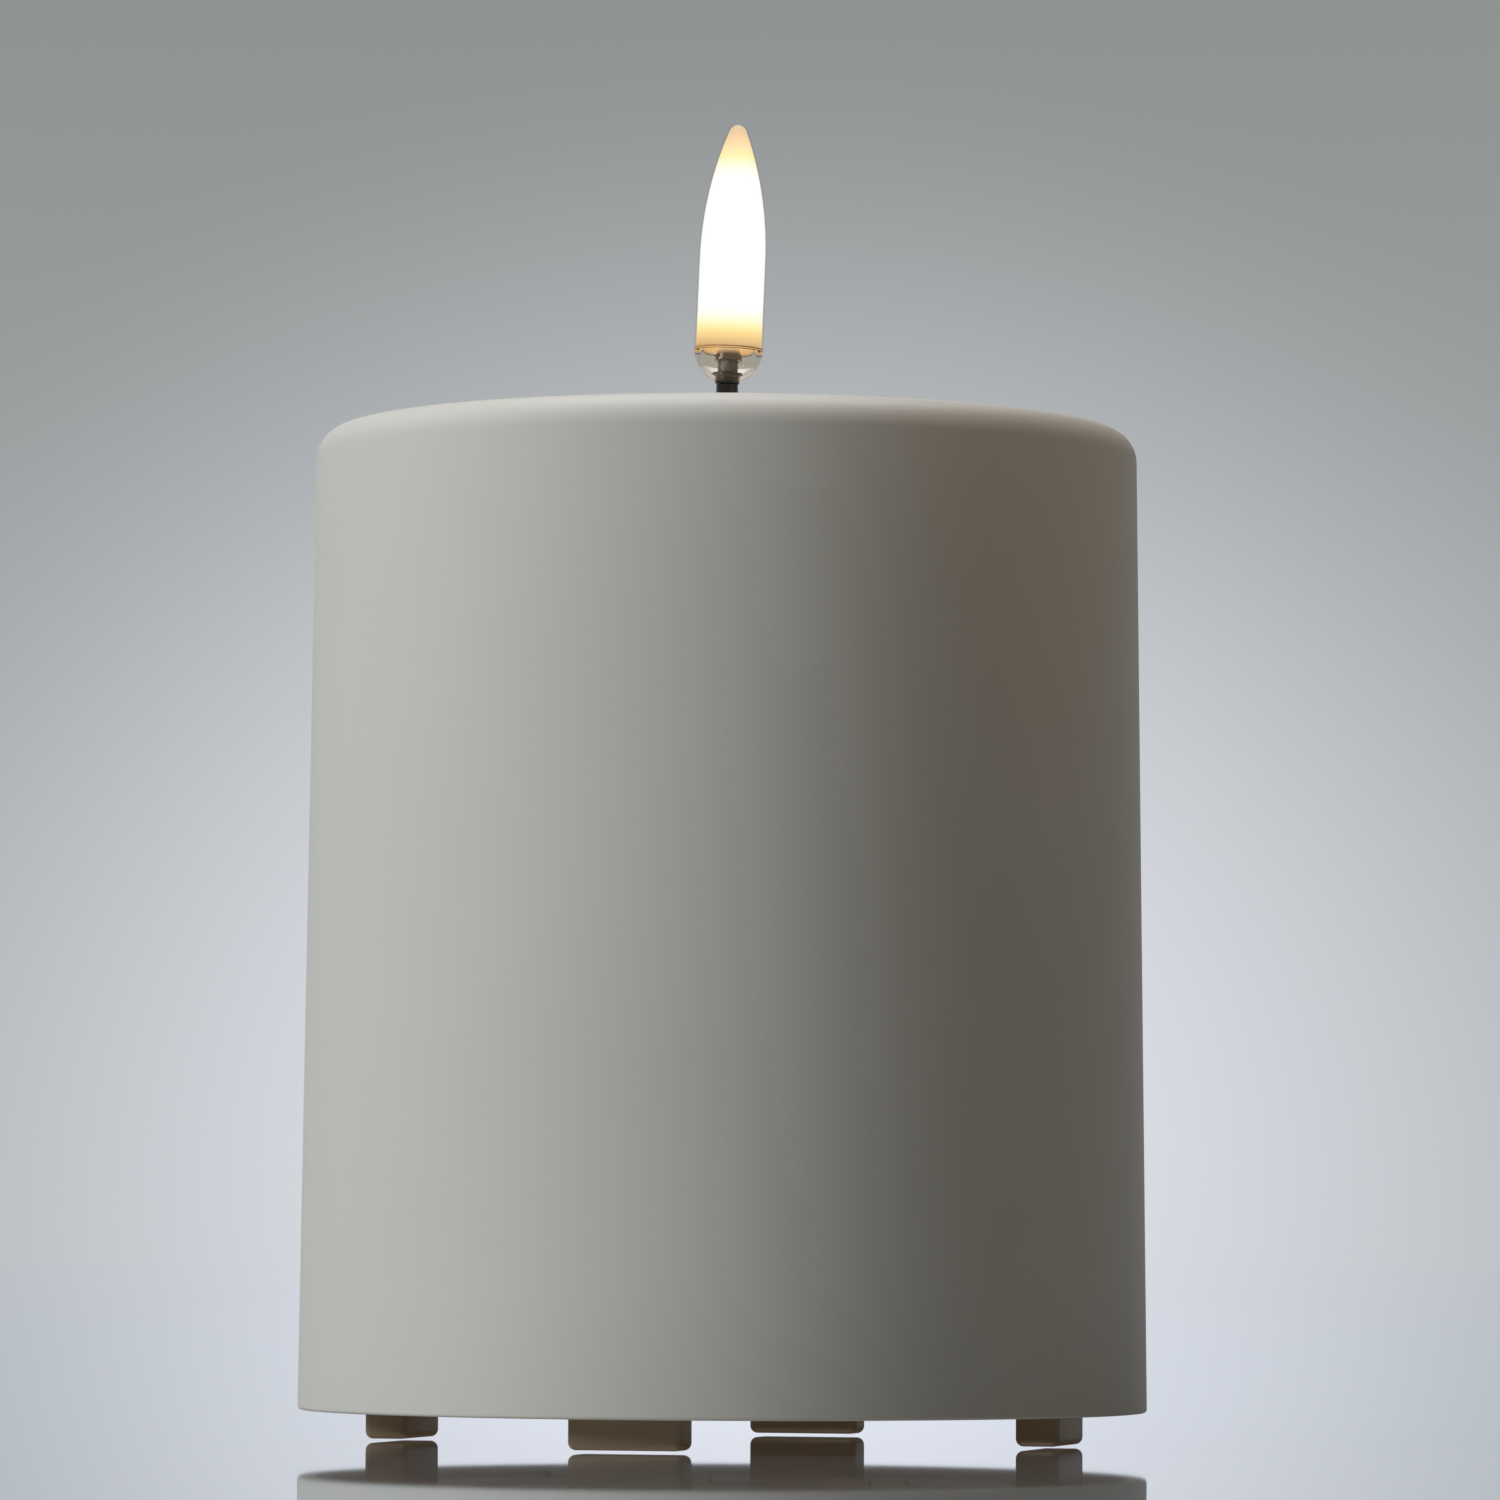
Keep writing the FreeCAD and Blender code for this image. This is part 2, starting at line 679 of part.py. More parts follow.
def make_base_seal():
    body = new_body("base_seal")
    ring = sketch_on(body, "base_seal_section", "XZ_Plane")
    low, high = "seal_bottom + seal_fit", "seal_bottom + seal_width - seal_fit"
    draw_outline(ring, [
        ("seal_inner + seal_fit", low),
        ("plate_radius + seal_stand", low),
        ("plate_radius + seal_stand", high),
        ("seal_inner + seal_fit", high),
    ])
    turn(body, ring)


def make_base_screws():
    screws = []
    for index, (side_x, side_y) in enumerate(CORNERS):
        place = (f"{side_x}base_screw_circle * cos(45deg)", f"{side_y}base_screw_circle * sin(45deg)",
                 "base_screw_seat")
        screws.append(screw(f"base_screw_{index}", "base", place, upward=True))
    keep(group("base_screws", screws), "base_screws")


# Battery housing, cells and contacts

def make_battery_housing():
    body = new_body("battery_housing")
    pad(body, draw_oval(sketch_on(body, "housing_outline", level="plate_top"), "housing_radius"),
        "housing_top - plate_top")
    inside = draw_oval(sketch_on(body, "housing_inside", level="plate_top - overrun"), "pocket_radius")
    pocket_up(body, inside, "roof_under - plate_top + overrun")
    # Two ribs part the cells.
    rib_depth = "pocket_radius - divider_gap + housing_wall / 2"
    for index, side in enumerate(("-", "+")):
        middle = f"{side}1 * (pocket_radius + divider_gap + housing_wall / 2) / 2"
        block(body, f"divider_{index}", ("divider_thickness", rib_depth, "roof_under - cell_bottom + overrun"),
              ("0", middle, "cell_bottom"))
    # Ears that stand on the plate's posts.
    for index, (side_x, side_y) in enumerate(CORNERS):
        x, y = f"{side_x}1 * (ear_x)", f"{side_y}1 * (ear_y)"
        rod(body, f"ear_{index}", "ear_radius", "ear_thickness", (x, y, "ear_bottom"))
        rod(body, f"ear_hole_{index}", "small_screw_radius + screw_clearance", "ear_thickness + 2 * overrun",
            (x, y, "ear_bottom - overrun"), cut=True)
    # Posts for the driver board.
    for index, (side_x, side_y) in enumerate(CORNERS):
        x, y = f"{side_x}1 * (board_screw_x)", f"{side_y}1 * (board_screw_y)"
        rod(body, f"board_post_{index}", "board_post_radius", "board_post_height + overrun",
            (x, y, "housing_top - overrun"))
        tip = "board_top - small_screw_length - overrun"
        rod(body, f"board_post_hole_{index}", "small_screw_radius + thread_fit", f"board_bottom - ({tip}) + overrun",
            (x, y, tip), cut=True)
    # Slots that the contact tails pass through.
    for index, side in enumerate(("-", "+")):
        block(body, f"tail_slot_{index}",
              ("strip_thickness + 2 * tail_slot_gap", "tail_width + 2 * tail_slot_gap", "housing_roof + 2 * overrun"),
              (f"{side}1 * (tail_x)", "0", "roof_under - overrun"), cut=True)


def make_housing_screws():
    screws = []
    for index, (side_x, side_y) in enumerate(CORNERS):
        place = (f"{side_x}1 * (ear_x)", f"{side_y}1 * (ear_y)", "ear_top")
        screws.append(screw(f"housing_screw_{index}", "small", place, upward=False))
    keep(group("housing_screws", screws), "housing_screws")


def make_cell(name, side, nub_up):
    """One large round cell, its can and its raised terminal turned as one section."""
    body = new_body(name)
    section = sketch_on(body, f"{name}_section", "XZ_Plane")
    draw_outline(section, [
        ("0", "0"),
        ("cell_radius", "0"),
        ("cell_radius", "cell_length - nub_height"),
        ("nub_radius", "cell_length - nub_height"),
        ("nub_radius", "cell_length"),
        ("0", "cell_length"),
    ])
    turn(body, section)
    radius = measure("cell_radius")
    levels = (0, measure("cell_length - nub_height"))
    soften(body, f"{name}_edges", "cell_edge", lambda edge: any(is_ring(edge, radius, level) for level in levels))
    bind(body, {"Placement.Base.x": f"{side}1 * (pocket_radius)"})
    if nub_up:
        bind(body, {"Placement.Base.z": "cell_bottom"})
    else:
        body.Placement.Rotation = FreeCAD.Rotation(FreeCAD.Vector(1, 0, 0), 180)
        bind(body, {"Placement.Base.z": "cell_top"})


def make_upper_contacts():
    for name, side in (("positive_contact", "-"), ("negative_contact", "+")):
        middle = f"{side}1 * (pocket_radius)"
        strip = box(f"{name}_strip", ("2 * strip_end", "strip_width", "strip_thickness"),
                    (middle, "0", "roof_under - strip_thickness"))
        tail = box(f"{name}_tail", ("strip_thickness", "tail_width", "strip_thickness + housing_roof + tail_height"),
                   (f"{side}1 * (tail_x)", "0", "roof_under - strip_thickness"))
        parts = [strip, tail]
        if name == "positive_contact":
            parts.append(cone(f"{name}_button", "button_top_radius", "button_foot_radius",
                              "spring_height - contact_gap", (middle, "0", "cell_top + contact_gap")))
        keep(fuse(name, parts), name)


def make_bridge_contact():
    strip = box("bridge_strip", ("2 * pocket_radius + 2 * strip_end", "strip_width", "strip_thickness"),
                ("0", "0", "plug_top"))
    button = cone("bridge_button", "button_foot_radius", "button_top_radius", "spring_height - contact_gap",
                  ("pocket_radius", "0", "bridge_top"))
    keep(fuse("bridge_contact", [strip, button]), "bridge_contact")


def make_spring(name, side, foot_level, upward):
    """Conical coil of round wire. Its wide end sits on a contact strip."""
    body = new_body(name)
    wire = sketch_on(body, f"{name}_wire", "XZ_Plane")
    curve = wire.addGeometry(Part.Circle(FreeCAD.Vector(measure("spring_foot_radius"), measure("spring_wire"), 0),
                                         FreeCAD.Vector(0, 0, 1), measure("spring_wire")))
    place_point(wire, curve, 3, "spring_foot_radius", "spring_wire")
    index = wire.addConstraint(Sketcher.Constraint("Radius", curve, measure("spring_wire")))
    wire.setExpression(f"Constraints[{index}]", formula("spring_wire"))
    coil = body.newObject("PartDesign::AdditiveHelix", f"{name}_coil")
    coil.Profile = wire
    coil.ReferenceAxis = (wire, ["V_Axis"])
    coil.Mode = 0
    bind(coil, {"Pitch": "coil_height / spring_turns", "Height": "coil_height", "Angle": "spring_angle"})
    if not upward:
        body.Placement.Rotation = FreeCAD.Rotation(FreeCAD.Vector(1, 0, 0), 180)
    bind(body, {"Placement.Base.x": f"{side}1 * (pocket_radius)", "Placement.Base.z": foot_level})


# Battery door

def make_battery_door():
    body = new_body("battery_door")
    pad(body, draw_oval(sketch_on(body, "door_outline", level="plate_bottom"), "door_radius"), "door_thickness")
    plug_level = "plate_bottom + door_thickness"
    pad(body, draw_oval(sketch_on(body, "plug_outline", level=plug_level), "plug_radius"), "plug_height")
    # Hinge knuckles and the arms that carry them.
    for index, start in enumerate(("-knuckle_start - knuckle_length", "knuckle_start")):
        middle = f"({start} + knuckle_length / 2)"
        block(body, f"knuckle_arm_{index}",
              ("knuckle_length", "hinge_y - door_radius + door_clearance", "door_thickness"),
              (middle, "(hinge_y + door_radius - door_clearance) / 2", "plate_bottom"))
        rod(body, f"knuckle_{index}", "barrel_radius", "knuckle_length", ("hinge_y", "hinge_z", start),
            role="YZ_Plane")
    rod(body, "knuckle_bore", "pin_radius + pin_fit", "2 * hinge_half", ("hinge_y", "hinge_z", "-hinge_half"),
        cut=True, role="YZ_Plane")
    # Finger tab.
    block(body, "finger_tab", ("tab_width", "tab_reach + door_clearance", "door_thickness"),
          ("0", "-door_radius - (tab_reach - door_clearance) / 2", "plate_bottom"))


def make_door_seal():
    body = new_body("door_seal")
    level = "plate_bottom + door_thickness"
    inner = "plug_radius + seal_fit"
    pad(body, draw_oval(sketch_on(body, "door_seal_outline", level=level), f"({inner} + door_seal_width)"),
        "door_seal_height")
    hole = draw_oval(sketch_on(body, "door_seal_hole", level=f"{level} - overrun"), f"({inner})")
    pocket_up(body, hole, "door_seal_height + 2 * overrun")


def make_hinge_pins():
    pins = []
    for index, start in enumerate(("-(pin_start + pin_length)", "pin_start")):
        pin = cylinder(f"hinge_pin_{index}", "pin_radius", "pin_length", (start, "hinge_y", "hinge_z"))
        pin.Placement.Rotation = FreeCAD.Rotation(FreeCAD.Vector(0, 1, 0), 90)
        pins.append(pin)
    keep(group("hinge_pins", pins), "hinge_pins")


# Switch

def make_switch_case():
    y = "-switch_place"
    shell = box("case_block", ("case_length", "case_width", "case_height"), ("0", y, "plate_top"))
    flange = box("case_flange", ("case_length + 2 * case_flange_length", "case_width", "case_flange_height"),
                 ("0", y, "plate_top"))
    room = box("case_room", ("case_inside", "slider_width + 2 * switch_gap", "case_bottom_room + overrun"),
               ("0", y, "plate_top - overrun"))
    holes = [cylinder(f"case_hole_{index}", "switch_screw_radius + screw_clearance",
                      "case_flange_height + 2 * overrun", (f"{side}1 * (flange_screw_x)", y, "plate_top - overrun"))
             for index, side in enumerate(("-", "+"))]
    keep(cut("switch_case", fuse("case_blank", [shell, flange]), fuse("case_cuts", [room] + holes)), "switch_case")


def make_switch_knob():
    """Slider and knob in one. At rest it stands at the lit end of its travel."""
    x, y = "-switch_travel / 2", "-switch_place"
    slider = box("knob_slider", ("slider_length", "slider_width", "slider_height"), (x, y, "plate_top + switch_gap"))
    knob = box("knob_stem", ("knob_length", "knob_width", "plate_thickness + switch_gap + knob_reach + overrun"),
               (x, y, "plate_bottom - knob_reach"))
    keep(fuse("switch_knob", [slider, knob]), "switch_knob")


def make_switch_pins():
    pins = [box(f"switch_pin_{index}", ("switch_pin_width", "switch_pin_thickness", "switch_pin_height"),
                (f"{step} * pin_pitch", "-switch_place", "case_ceiling"))
            for index, step in enumerate((-1, 0, 1))]
    keep(group("switch_pins", pins), "switch_pins")


def make_switch_screws():
    screws = [screw(f"switch_screw_{index}", "switch",
                    (f"{side}1 * (flange_screw_x)", "-switch_place", "plate_top + case_flange_height"), upward=False)
              for index, side in enumerate(("-", "+"))]
    keep(group("switch_screws", screws), "switch_screws")


# Driver board

def make_driver_board():
    blank = box("board_blank", ("board_length", "board_width", "board_thickness"), ("0", "0", "board_bottom"))
    holes = [cylinder(f"board_hole_{index}", "small_screw_radius + screw_clearance", "board_thickness + 2 * overrun",
                      (f"{side_x}1 * (board_screw_x)", f"{side_y}1 * (board_screw_y)", "board_bottom - overrun"))
             for index, (side_x, side_y) in enumerate(CORNERS)]
    keep(cut("driver_board", blank, fuse("board_holes", holes)), "driver_board")
    screws = [screw(f"board_screw_{index}", "small",
                    (f"{side_x}1 * (board_screw_x)", f"{side_y}1 * (board_screw_y)", "board_top"), upward=False)
              for index, (side_x, side_y) in enumerate(CORNERS)]
    keep(group("board_screws", screws), "board_screws")


def make_board_parts():
    chip_x, chip_y = "chip_length_share * board_length", "chip_width_share * board_width"
    chip = box("chip_block", ("chip_length", "chip_width", "chip_height"), (chip_x, chip_y, "board_top"))
    leads = [box(f"chip_lead_{index}", ("chip_lead_width", "chip_width + 2 * chip_lead_reach", "chip_lead_height_share * chip_height"),
                 (f"{chip_x} + {step} * chip_lead_pitch", chip_y, "board_top"))
             for index, step in enumerate((-1.5, -0.5, 0.5, 1.5))]
    keep(fuse("driver_chip", [chip] + leads), "driver_chip")
    keep(cylinder("timer_capacitor", "capacitor_radius", "capacitor_height",
                  ("capacitor_length_share * board_length", "capacitor_width_share * board_width", "board_top")),
         "timer_capacitor")
    keep(box("timing_crystal", ("crystal_length", "crystal_width", "crystal_height"),
             ("crystal_length_share * board_length", "crystal_width_share * board_width", "board_top")),
         "timing_crystal")
    resistors = []
    for index, step in enumerate((0, 1, 2)):
        body = cylinder(f"resistor_{index}", "resistor_radius", "resistor_length",
                        (f"resistor_length_share * board_length + {step} * resistor_pitch",
                         "resistor_width_share * board_width - resistor_length", "board_top + resistor_radius"))
        body.Placement.Rotation = FreeCAD.Rotation(FreeCAD.Vector(1, 0, 0), -90)
        resistors.append(body)
    keep(group("board_resistors", resistors), "board_resistors")
    middle_y = "-(board_width - connector_width) / 2"
    shroud = box("connector_block", ("connector_length", "connector_width", "connector_height"),
                 ("0", middle_y, "board_top"))
    mouth = box("connector_mouth",
                ("connector_length - 2 * connector_wall", "connector_width - 2 * connector_wall",
                 "connector_height - connector_wall + overrun"),
                ("0", middle_y, "board_top + connector_wall"))
    keep(cut("lead_connector", shroud, mouth), "lead_connector")


# Leads: tubes of straight runs and tangent arcs

def lead(radius, route):
    """One lead through the points of its route, each corner rounded as widely as its runs allow."""
    points = [FreeCAD.Vector(*(measure(text) for text in point)) for point in route]
    edges = []
    last = points[0]
    for before, corner, after in zip(points, points[1:], points[2:]):
        back = (before - corner)
        ahead = (after - corner)
        shorter = min(back.Length, ahead.Length)
        back.normalize()
        ahead.normalize()
        turn_angle = math.pi - back.getAngle(ahead)
        tangent = TANGENT_SHARE * shorter
        start = corner + back * tangent
        finish = corner + ahead * tangent
        bend_radius = tangent / math.tan(turn_angle / 2)
        inward = (back + ahead).normalize()
        middle = corner + inward * (bend_radius / math.cos(turn_angle / 2) - bend_radius)
        edges.append(Part.LineSegment(last, start).toShape())
        edges.append(Part.Arc(start, middle, finish).toShape())
        last = finish
    edges.append(Part.LineSegment(last, points[-1]).toShape())
    path = Part.Wire(edges)
    section = Part.Wire(Part.Circle(points[0], points[1] - points[0], radius).toShape())
    return path.makePipeShell([section], True, False)


def make_leads(name, radius, routes):
    """A group of leads. The sizes are read from the sheet when the shape is made."""
    thing = doc.addObject("Part::Feature", name)
    thing.Shape = Part.makeCompound([lead(measure(radius), route) for route in routes])
    thing.Placement = FreeCAD.Placement()
    keep(thing, name)


def make_flame_leads():
    routes = []
    for side in ("-", "+"):
        x = f"{side}1 * fine_lead_spacing"
        end_y = "-(board_width - connector_width) / 2"
        routes.append([
            (x, "0", "pivot + collar_top + stem_length - fine_lead_radius"),
            (x, "0", "wick_end - wick_tail"),
            (f"lead_spread_share * ({x})", f"lead_landing_share * ({end_y})", "connector_top + wick_tail"),
            (f"lead_spread_share * ({x})", end_y, "board_top + connector_wall + lead_gap"),
        ])
    make_leads("flame_leads", "fine_lead_radius", routes)


def make_battery_leads():
    routes = []
    for side in ("-", "+"):
        tail_tip = "housing_top + tail_height"
        landing = f"{side}1 * (board_length / 2 - board_screw_inset)"
        routes.append([
            (f"{side}1 * (tail_x)", "0", f"{tail_tip} + lead_gap"),
            (f"{side}1 * (tail_x)", "0", f"{tail_tip} + tail_height"),
            (landing, "-lead_radius", f"{tail_tip} + lead_crest_share * tail_height"),
            (landing, "-lead_radius", "board_top + lead_gap"),
        ])
    make_leads("battery_leads", "lead_radius", routes)


def make_switch_leads():
    routes = []
    for step in (-1, 0):
        x = f"{step} * pin_pitch"
        wall_y = "-(housing_radius + lead_radius + lead_gap)"
        landing_y = "-board_width / 2 + lead_radius"
        landing_x = f"{step} * pin_pitch - connector_length / 2 - pin_pitch / 2"
        pin_tip = "case_ceiling + switch_pin_height"
        routes.append([
            (x, "-switch_place", f"{pin_tip} + lead_gap"),
            (x, "-switch_place", f"{pin_tip} + lead_rise_share * switch_place"),
            (x, wall_y, f"{pin_tip} + 2 * lead_rise_share * switch_place"),
            (x, wall_y, "board_bottom"),
            (landing_x, f"{landing_y} - board_screw_inset", "connector_top"),
            (landing_x, landing_y, "connector_top"),
            (landing_x, landing_y, "board_top + lead_gap"),
        ])
    make_leads("switch_leads", "lead_radius", routes)


# Wick and flame

def make_wick():
    tube = cylinder("wick_outside", "wick_radius", "pivot - seat_gap - wick_end", ("0", "0", "wick_end"))
    bore = cylinder("wick_bore", "wick_bore_radius", "pivot - wick_end + overrun", ("0", "0", "wick_end - overrun"))
    keep(cut("wick_tube", tube, bore), "wick_tube")
    ring = cylinder("retainer_disc", "retainer_radius", "retainer_thickness",
                    ("0", "0", "sleeve_bottom - retainer_thickness"))
    hole = cylinder("retainer_hole", "wick_radius + thread_fit", "retainer_thickness + 2 * overrun",
                    ("0", "0", "sleeve_bottom - retainer_thickness - overrun"))
    keep(cut("wick_retainer", ring, hole), "wick_retainer")


def flame_body(name, corners):
    """A turned piece of the flame, which leans a little about the end of the wick."""
    body = new_body(name)
    turn(body, draw_outline(sketch_on(body, f"{name}_section", "XZ_Plane"), corners))
    return bind(body, {
        "Placement.Base.z": "pivot",
        "Placement.Rotation.Axis.x": "-sin(flame_heading_angle * 1deg)",
        "Placement.Rotation.Axis.y": "cos(flame_heading_angle * 1deg)",
        "Placement.Rotation.Axis.z": "0",
        "Placement.Rotation.Angle": "flame_lean_angle",
    })


def make_wick_collar():
    flame_body("wick_collar", [
        ("wick_bore_radius", "0"),
        ("collar_neck_radius", "0"),
        ("collar_neck_radius", "collar_seat"),
        ("collar_radius", "collar_rim"),
        ("collar_radius", "collar_top"),
        ("wick_bore_radius", "collar_top"),
    ])


def make_led_stem():
    flame_body("led_stem", [
        ("wick_bore_radius", "collar_top"),
        ("stem_radius", "collar_top"),
        ("stem_radius", "stem_top"),
        ("wick_bore_radius", "stem_top"),
    ])


def make_flame_led():
    flame_body("flame_led", [
        ("0", "stem_top"),
        ("led_flange_radius", "stem_top"),
        ("led_flange_radius", "led_shoulder"),
        ("led_radius", "led_shoulder"),
        ("led_radius", "led_shoulder + led_straight", "led_radius", 1),
        ("0", "led_tip"),
    ])


def make_flame_cup():
    """Clear half round cup with a spigot that locates the sleeve."""
    mouth = "(collar_neck_radius + seat_gap)"
    outer_mouth = f"flame_radius - sqrt(flame_radius^2 - {mouth}^2)"
    inner_mouth = f"flame_radius - sqrt(cup_inner^2 - {mouth}^2)"
    step_radius = "(spigot_radius - spigot_wall)"
    flame_body("flame_cup", [
        (mouth, outer_mouth, "flame_radius", 1),
        ("flame_radius", "cup_height"),
        ("spigot_radius", "cup_height"),
        ("spigot_radius", "cup_height + spigot_height"),
        (step_radius, "cup_height + spigot_height"),
        (step_radius, f"flame_radius - sqrt(cup_inner^2 - {step_radius}^2)", "cup_inner", -1),
        (mouth, inner_mouth),
    ])


def make_flame_sleeve():
    """Frosted pointed sleeve: a straight skirt, a long drawn-in arc and a round nose."""
    skirt_top = "cup_height + flame_straight"
    arc_x = "(flame_radius - ogive_radius)"
    inner_arc = "(ogive_radius - sleeve_wall)"
    inner_nose = "(nose_radius - sleeve_wall)"
    flame_body("flame_sleeve", [
        ("flame_radius - sleeve_wall", "cup_height"),
        ("flame_radius", "cup_height"),
        ("flame_radius", skirt_top, "ogive_radius", 1),
        (f"{arc_x} + ogive_radius * nose_cosine", f"{skirt_top} + ogive_radius * nose_sine", "nose_radius", 1),
        ("0", "cup_height + flame_length"),
        ("0", "cup_height + flame_length - sleeve_wall", inner_nose, -1),
        (f"{arc_x} + {inner_arc} * nose_cosine", f"{skirt_top} + {inner_arc} * nose_sine", inner_arc, -1),
        ("flame_radius - sleeve_wall", skirt_top),
    ])


make_candle_shell()
make_base_plate()
make_base_seal()
make_base_screws()
make_battery_housing()
make_housing_screws()
make_cell("battery_cell_left", "-", nub_up=True)
make_cell("battery_cell_right", "+", nub_up=False)
make_upper_contacts()
make_bridge_contact()
make_spring("upper_spring", "+", "roof_under - strip_thickness", upward=False)
make_spring("door_spring", "-", "bridge_top", upward=True)
make_battery_door()
make_door_seal()
make_hinge_pins()
make_switch_case()
make_switch_knob()
make_switch_pins()
make_switch_screws()
make_driver_board()
make_board_parts()
make_flame_leads()
make_battery_leads()
make_switch_leads()
make_wick()
make_wick_collar()
make_led_stem()
make_flame_led()
make_flame_cup()
make_flame_sleeve()
doc.recompute()

# Every object has to be sound before anything is written.
for thing in doc.Objects:
    faults = [word for word in thing.State if word in ("Invalid", "Error")]
    if faults:
        raise RuntimeError(f"{thing.Label} is {faults}")
for piece in pieces:
    if piece.Shape.isNull() or not piece.Shape.isValid() or not piece.Shape.Solids:
        raise RuntimeError(f"{piece.Label} has no sound solid")

os.makedirs("parts", exist_ok=True)
for piece in pieces:
    piece.Shape.exportStep(os.path.join("parts", f"{piece.Label}.step"))
    size = piece.Shape.BoundBox
    print(f"{piece.Label}: {len(piece.Shape.Solids)} solids, {piece.Shape.Volume:.1f} mm3, "
          f"z {size.ZMin:.2f} to {size.ZMax:.2f}")
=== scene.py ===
import json
import math
import bmesh
import bpy
from mathutils import Matrix, Vector


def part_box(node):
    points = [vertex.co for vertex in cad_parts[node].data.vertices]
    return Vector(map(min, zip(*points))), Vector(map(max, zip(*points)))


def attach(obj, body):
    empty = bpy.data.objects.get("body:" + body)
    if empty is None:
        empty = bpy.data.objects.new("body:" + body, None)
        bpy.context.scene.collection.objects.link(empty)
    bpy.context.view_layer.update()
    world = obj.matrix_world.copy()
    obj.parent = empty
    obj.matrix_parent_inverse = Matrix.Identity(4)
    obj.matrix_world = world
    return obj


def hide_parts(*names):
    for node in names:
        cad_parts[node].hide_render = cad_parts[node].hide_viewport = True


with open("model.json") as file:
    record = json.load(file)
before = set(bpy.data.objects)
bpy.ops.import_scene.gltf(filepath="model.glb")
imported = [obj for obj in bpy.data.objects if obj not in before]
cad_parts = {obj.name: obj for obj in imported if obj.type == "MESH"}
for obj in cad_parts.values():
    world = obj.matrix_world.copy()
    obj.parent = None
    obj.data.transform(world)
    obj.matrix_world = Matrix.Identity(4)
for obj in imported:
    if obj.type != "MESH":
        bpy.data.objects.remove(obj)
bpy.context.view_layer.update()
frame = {"nodes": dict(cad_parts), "record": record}


def box_of(node):
    """Both corners, the middle and the size of a CAD node's box."""
    low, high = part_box(node)
    return low, high, (low + high) / 2, high - low


# Sizes, in metres. What the frame can tell is read from it.

MM = 0.001

shell_low, shell_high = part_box("candle_shell")
RIM_RADIUS = (shell_high.x - shell_low.x) / 2
RIM_GAP = shell_low.z
SHELL_TOP = shell_high.z
TOP_RADIUS = RIM_RADIUS - 1.45 * MM
SHELL_WALL = 2.2 * MM
CROWN_RISE = 0.35 * MM
SHOULDER_RADIUS = 3.8 * MM
RIM_EDGE = 0.4 * MM
WICK_HOLE_EDGE = 0.25 * MM
WICK_SLEEVE_WALL = 2.7 * MM
WICK_SLEEVE_DEPTH = 6.0 * MM

PLATE_BOTTOM = RIM_GAP + 1.4 * MM
PLATE_TOP = PLATE_BOTTOM + 3.4 * MM
SCREW_CIRCLE = 44.24 * MM
SCREW_TURN = math.pi / 4
SCREW_HEAD_RADIUS = 2.5 * MM
SCREW_SINK = 1.2 * MM
BOSS_RADIUS = 4.3 * MM
BOSS_HEIGHT = 20.0 * MM
BOSS_HOLE_RADIUS = 1.35 * MM
BOSS_HOLE_DEPTH = 12.3 * MM
FOOT_CIRCLE = 39.94 * MM
FOOT_WIDTH = 13.6 * MM
FOOT_DEPTH = 5.3 * MM
FOOT_ROUND = 0.9 * MM
POCKET_RADIUS = 17.5 * MM
DOOR_RADIUS = 18.4 * MM
TAB_WIDTH = 10.0 * MM
SWITCH_PLACE = 29.0 * MM
SWITCH_TRAVEL = 4.0 * MM

wick_low, wick_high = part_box("wick_tube")
WICK_RADIUS = (wick_high.x - wick_low.x) / 2
WICK_BORE_RADIUS = 0.85 * MM
WICK_HOLE_RADIUS = WICK_RADIUS + 0.08 * MM
FLAME_SEAT_GAP = 0.06 * MM
PIVOT_HEIGHT = wick_high.z + FLAME_SEAT_GAP

# Two angles in degrees: how far the flame leans, and the side that it leans to
FLAME_LEAN = 2.2
FLAME_HEADING = 15.3
FLAME_RADIUS = 4.14 * MM
FLAME_LENGTH = 27.3 * MM
FLAME_STRAIGHT = 10.8 * MM
FLAME_TIP = FLAME_RADIUS + FLAME_LENGTH
NOSE_RADIUS = 1.29 * MM
SLEEVE_SKIN = 0.22 * MM
CUP_INNER = FLAME_RADIUS - 0.5 * MM
SPIGOT_HEIGHT = 0.9 * MM
SPIGOT_WALL = 0.5 * MM
SPIGOT_RADIUS = FLAME_RADIUS - 0.65 * MM
COLLAR_RADIUS = 1.8 * MM
COLLAR_HEIGHT = 0.3 * MM
COLLAR_NECK_RADIUS = 1.45 * MM
COLLAR_SEAT = FLAME_RADIUS - math.sqrt(CUP_INNER ** 2 - COLLAR_NECK_RADIUS ** 2) + FLAME_SEAT_GAP
COLLAR_RIM = FLAME_RADIUS - math.sqrt(CUP_INNER ** 2 - COLLAR_RADIUS ** 2) + FLAME_SEAT_GAP
COLLAR_TOP = COLLAR_RIM + COLLAR_HEIGHT
STEM_RADIUS = 1.2 * MM
STEM_TOP = COLLAR_TOP + 1.6 * MM
LED_FLANGE_RADIUS = 1.65 * MM
LED_SHOULDER = STEM_TOP + 0.6 * MM
LED_RADIUS = 1.45 * MM
LED_STRAIGHT = 2.4 * MM

# How finely round things are divided
TURN_SIDES = 256
FINE_SIDES = 96
SMALL_SIDES = 40
WIRE_SIDES = 14
# Faces that meet at less than this many degrees shade smoothly, or are one flat face.
CORNER_ANGLE = 30
FLAT_ANGLE = 0.5
# Points closer than this are one point, and a smaller radius is none.
MERGE = 0.0005 * MM
TOUCHING = 0.001 * MM
# How far a cut or a sunk piece runs past the face that it meets
OVERRUN = 0.3 * MM


# Meshes

def linked(name, data):
    """A new object in the scene."""
    made = bpy.data.objects.new(name, data)
    bpy.context.scene.collection.objects.link(made)
    return made


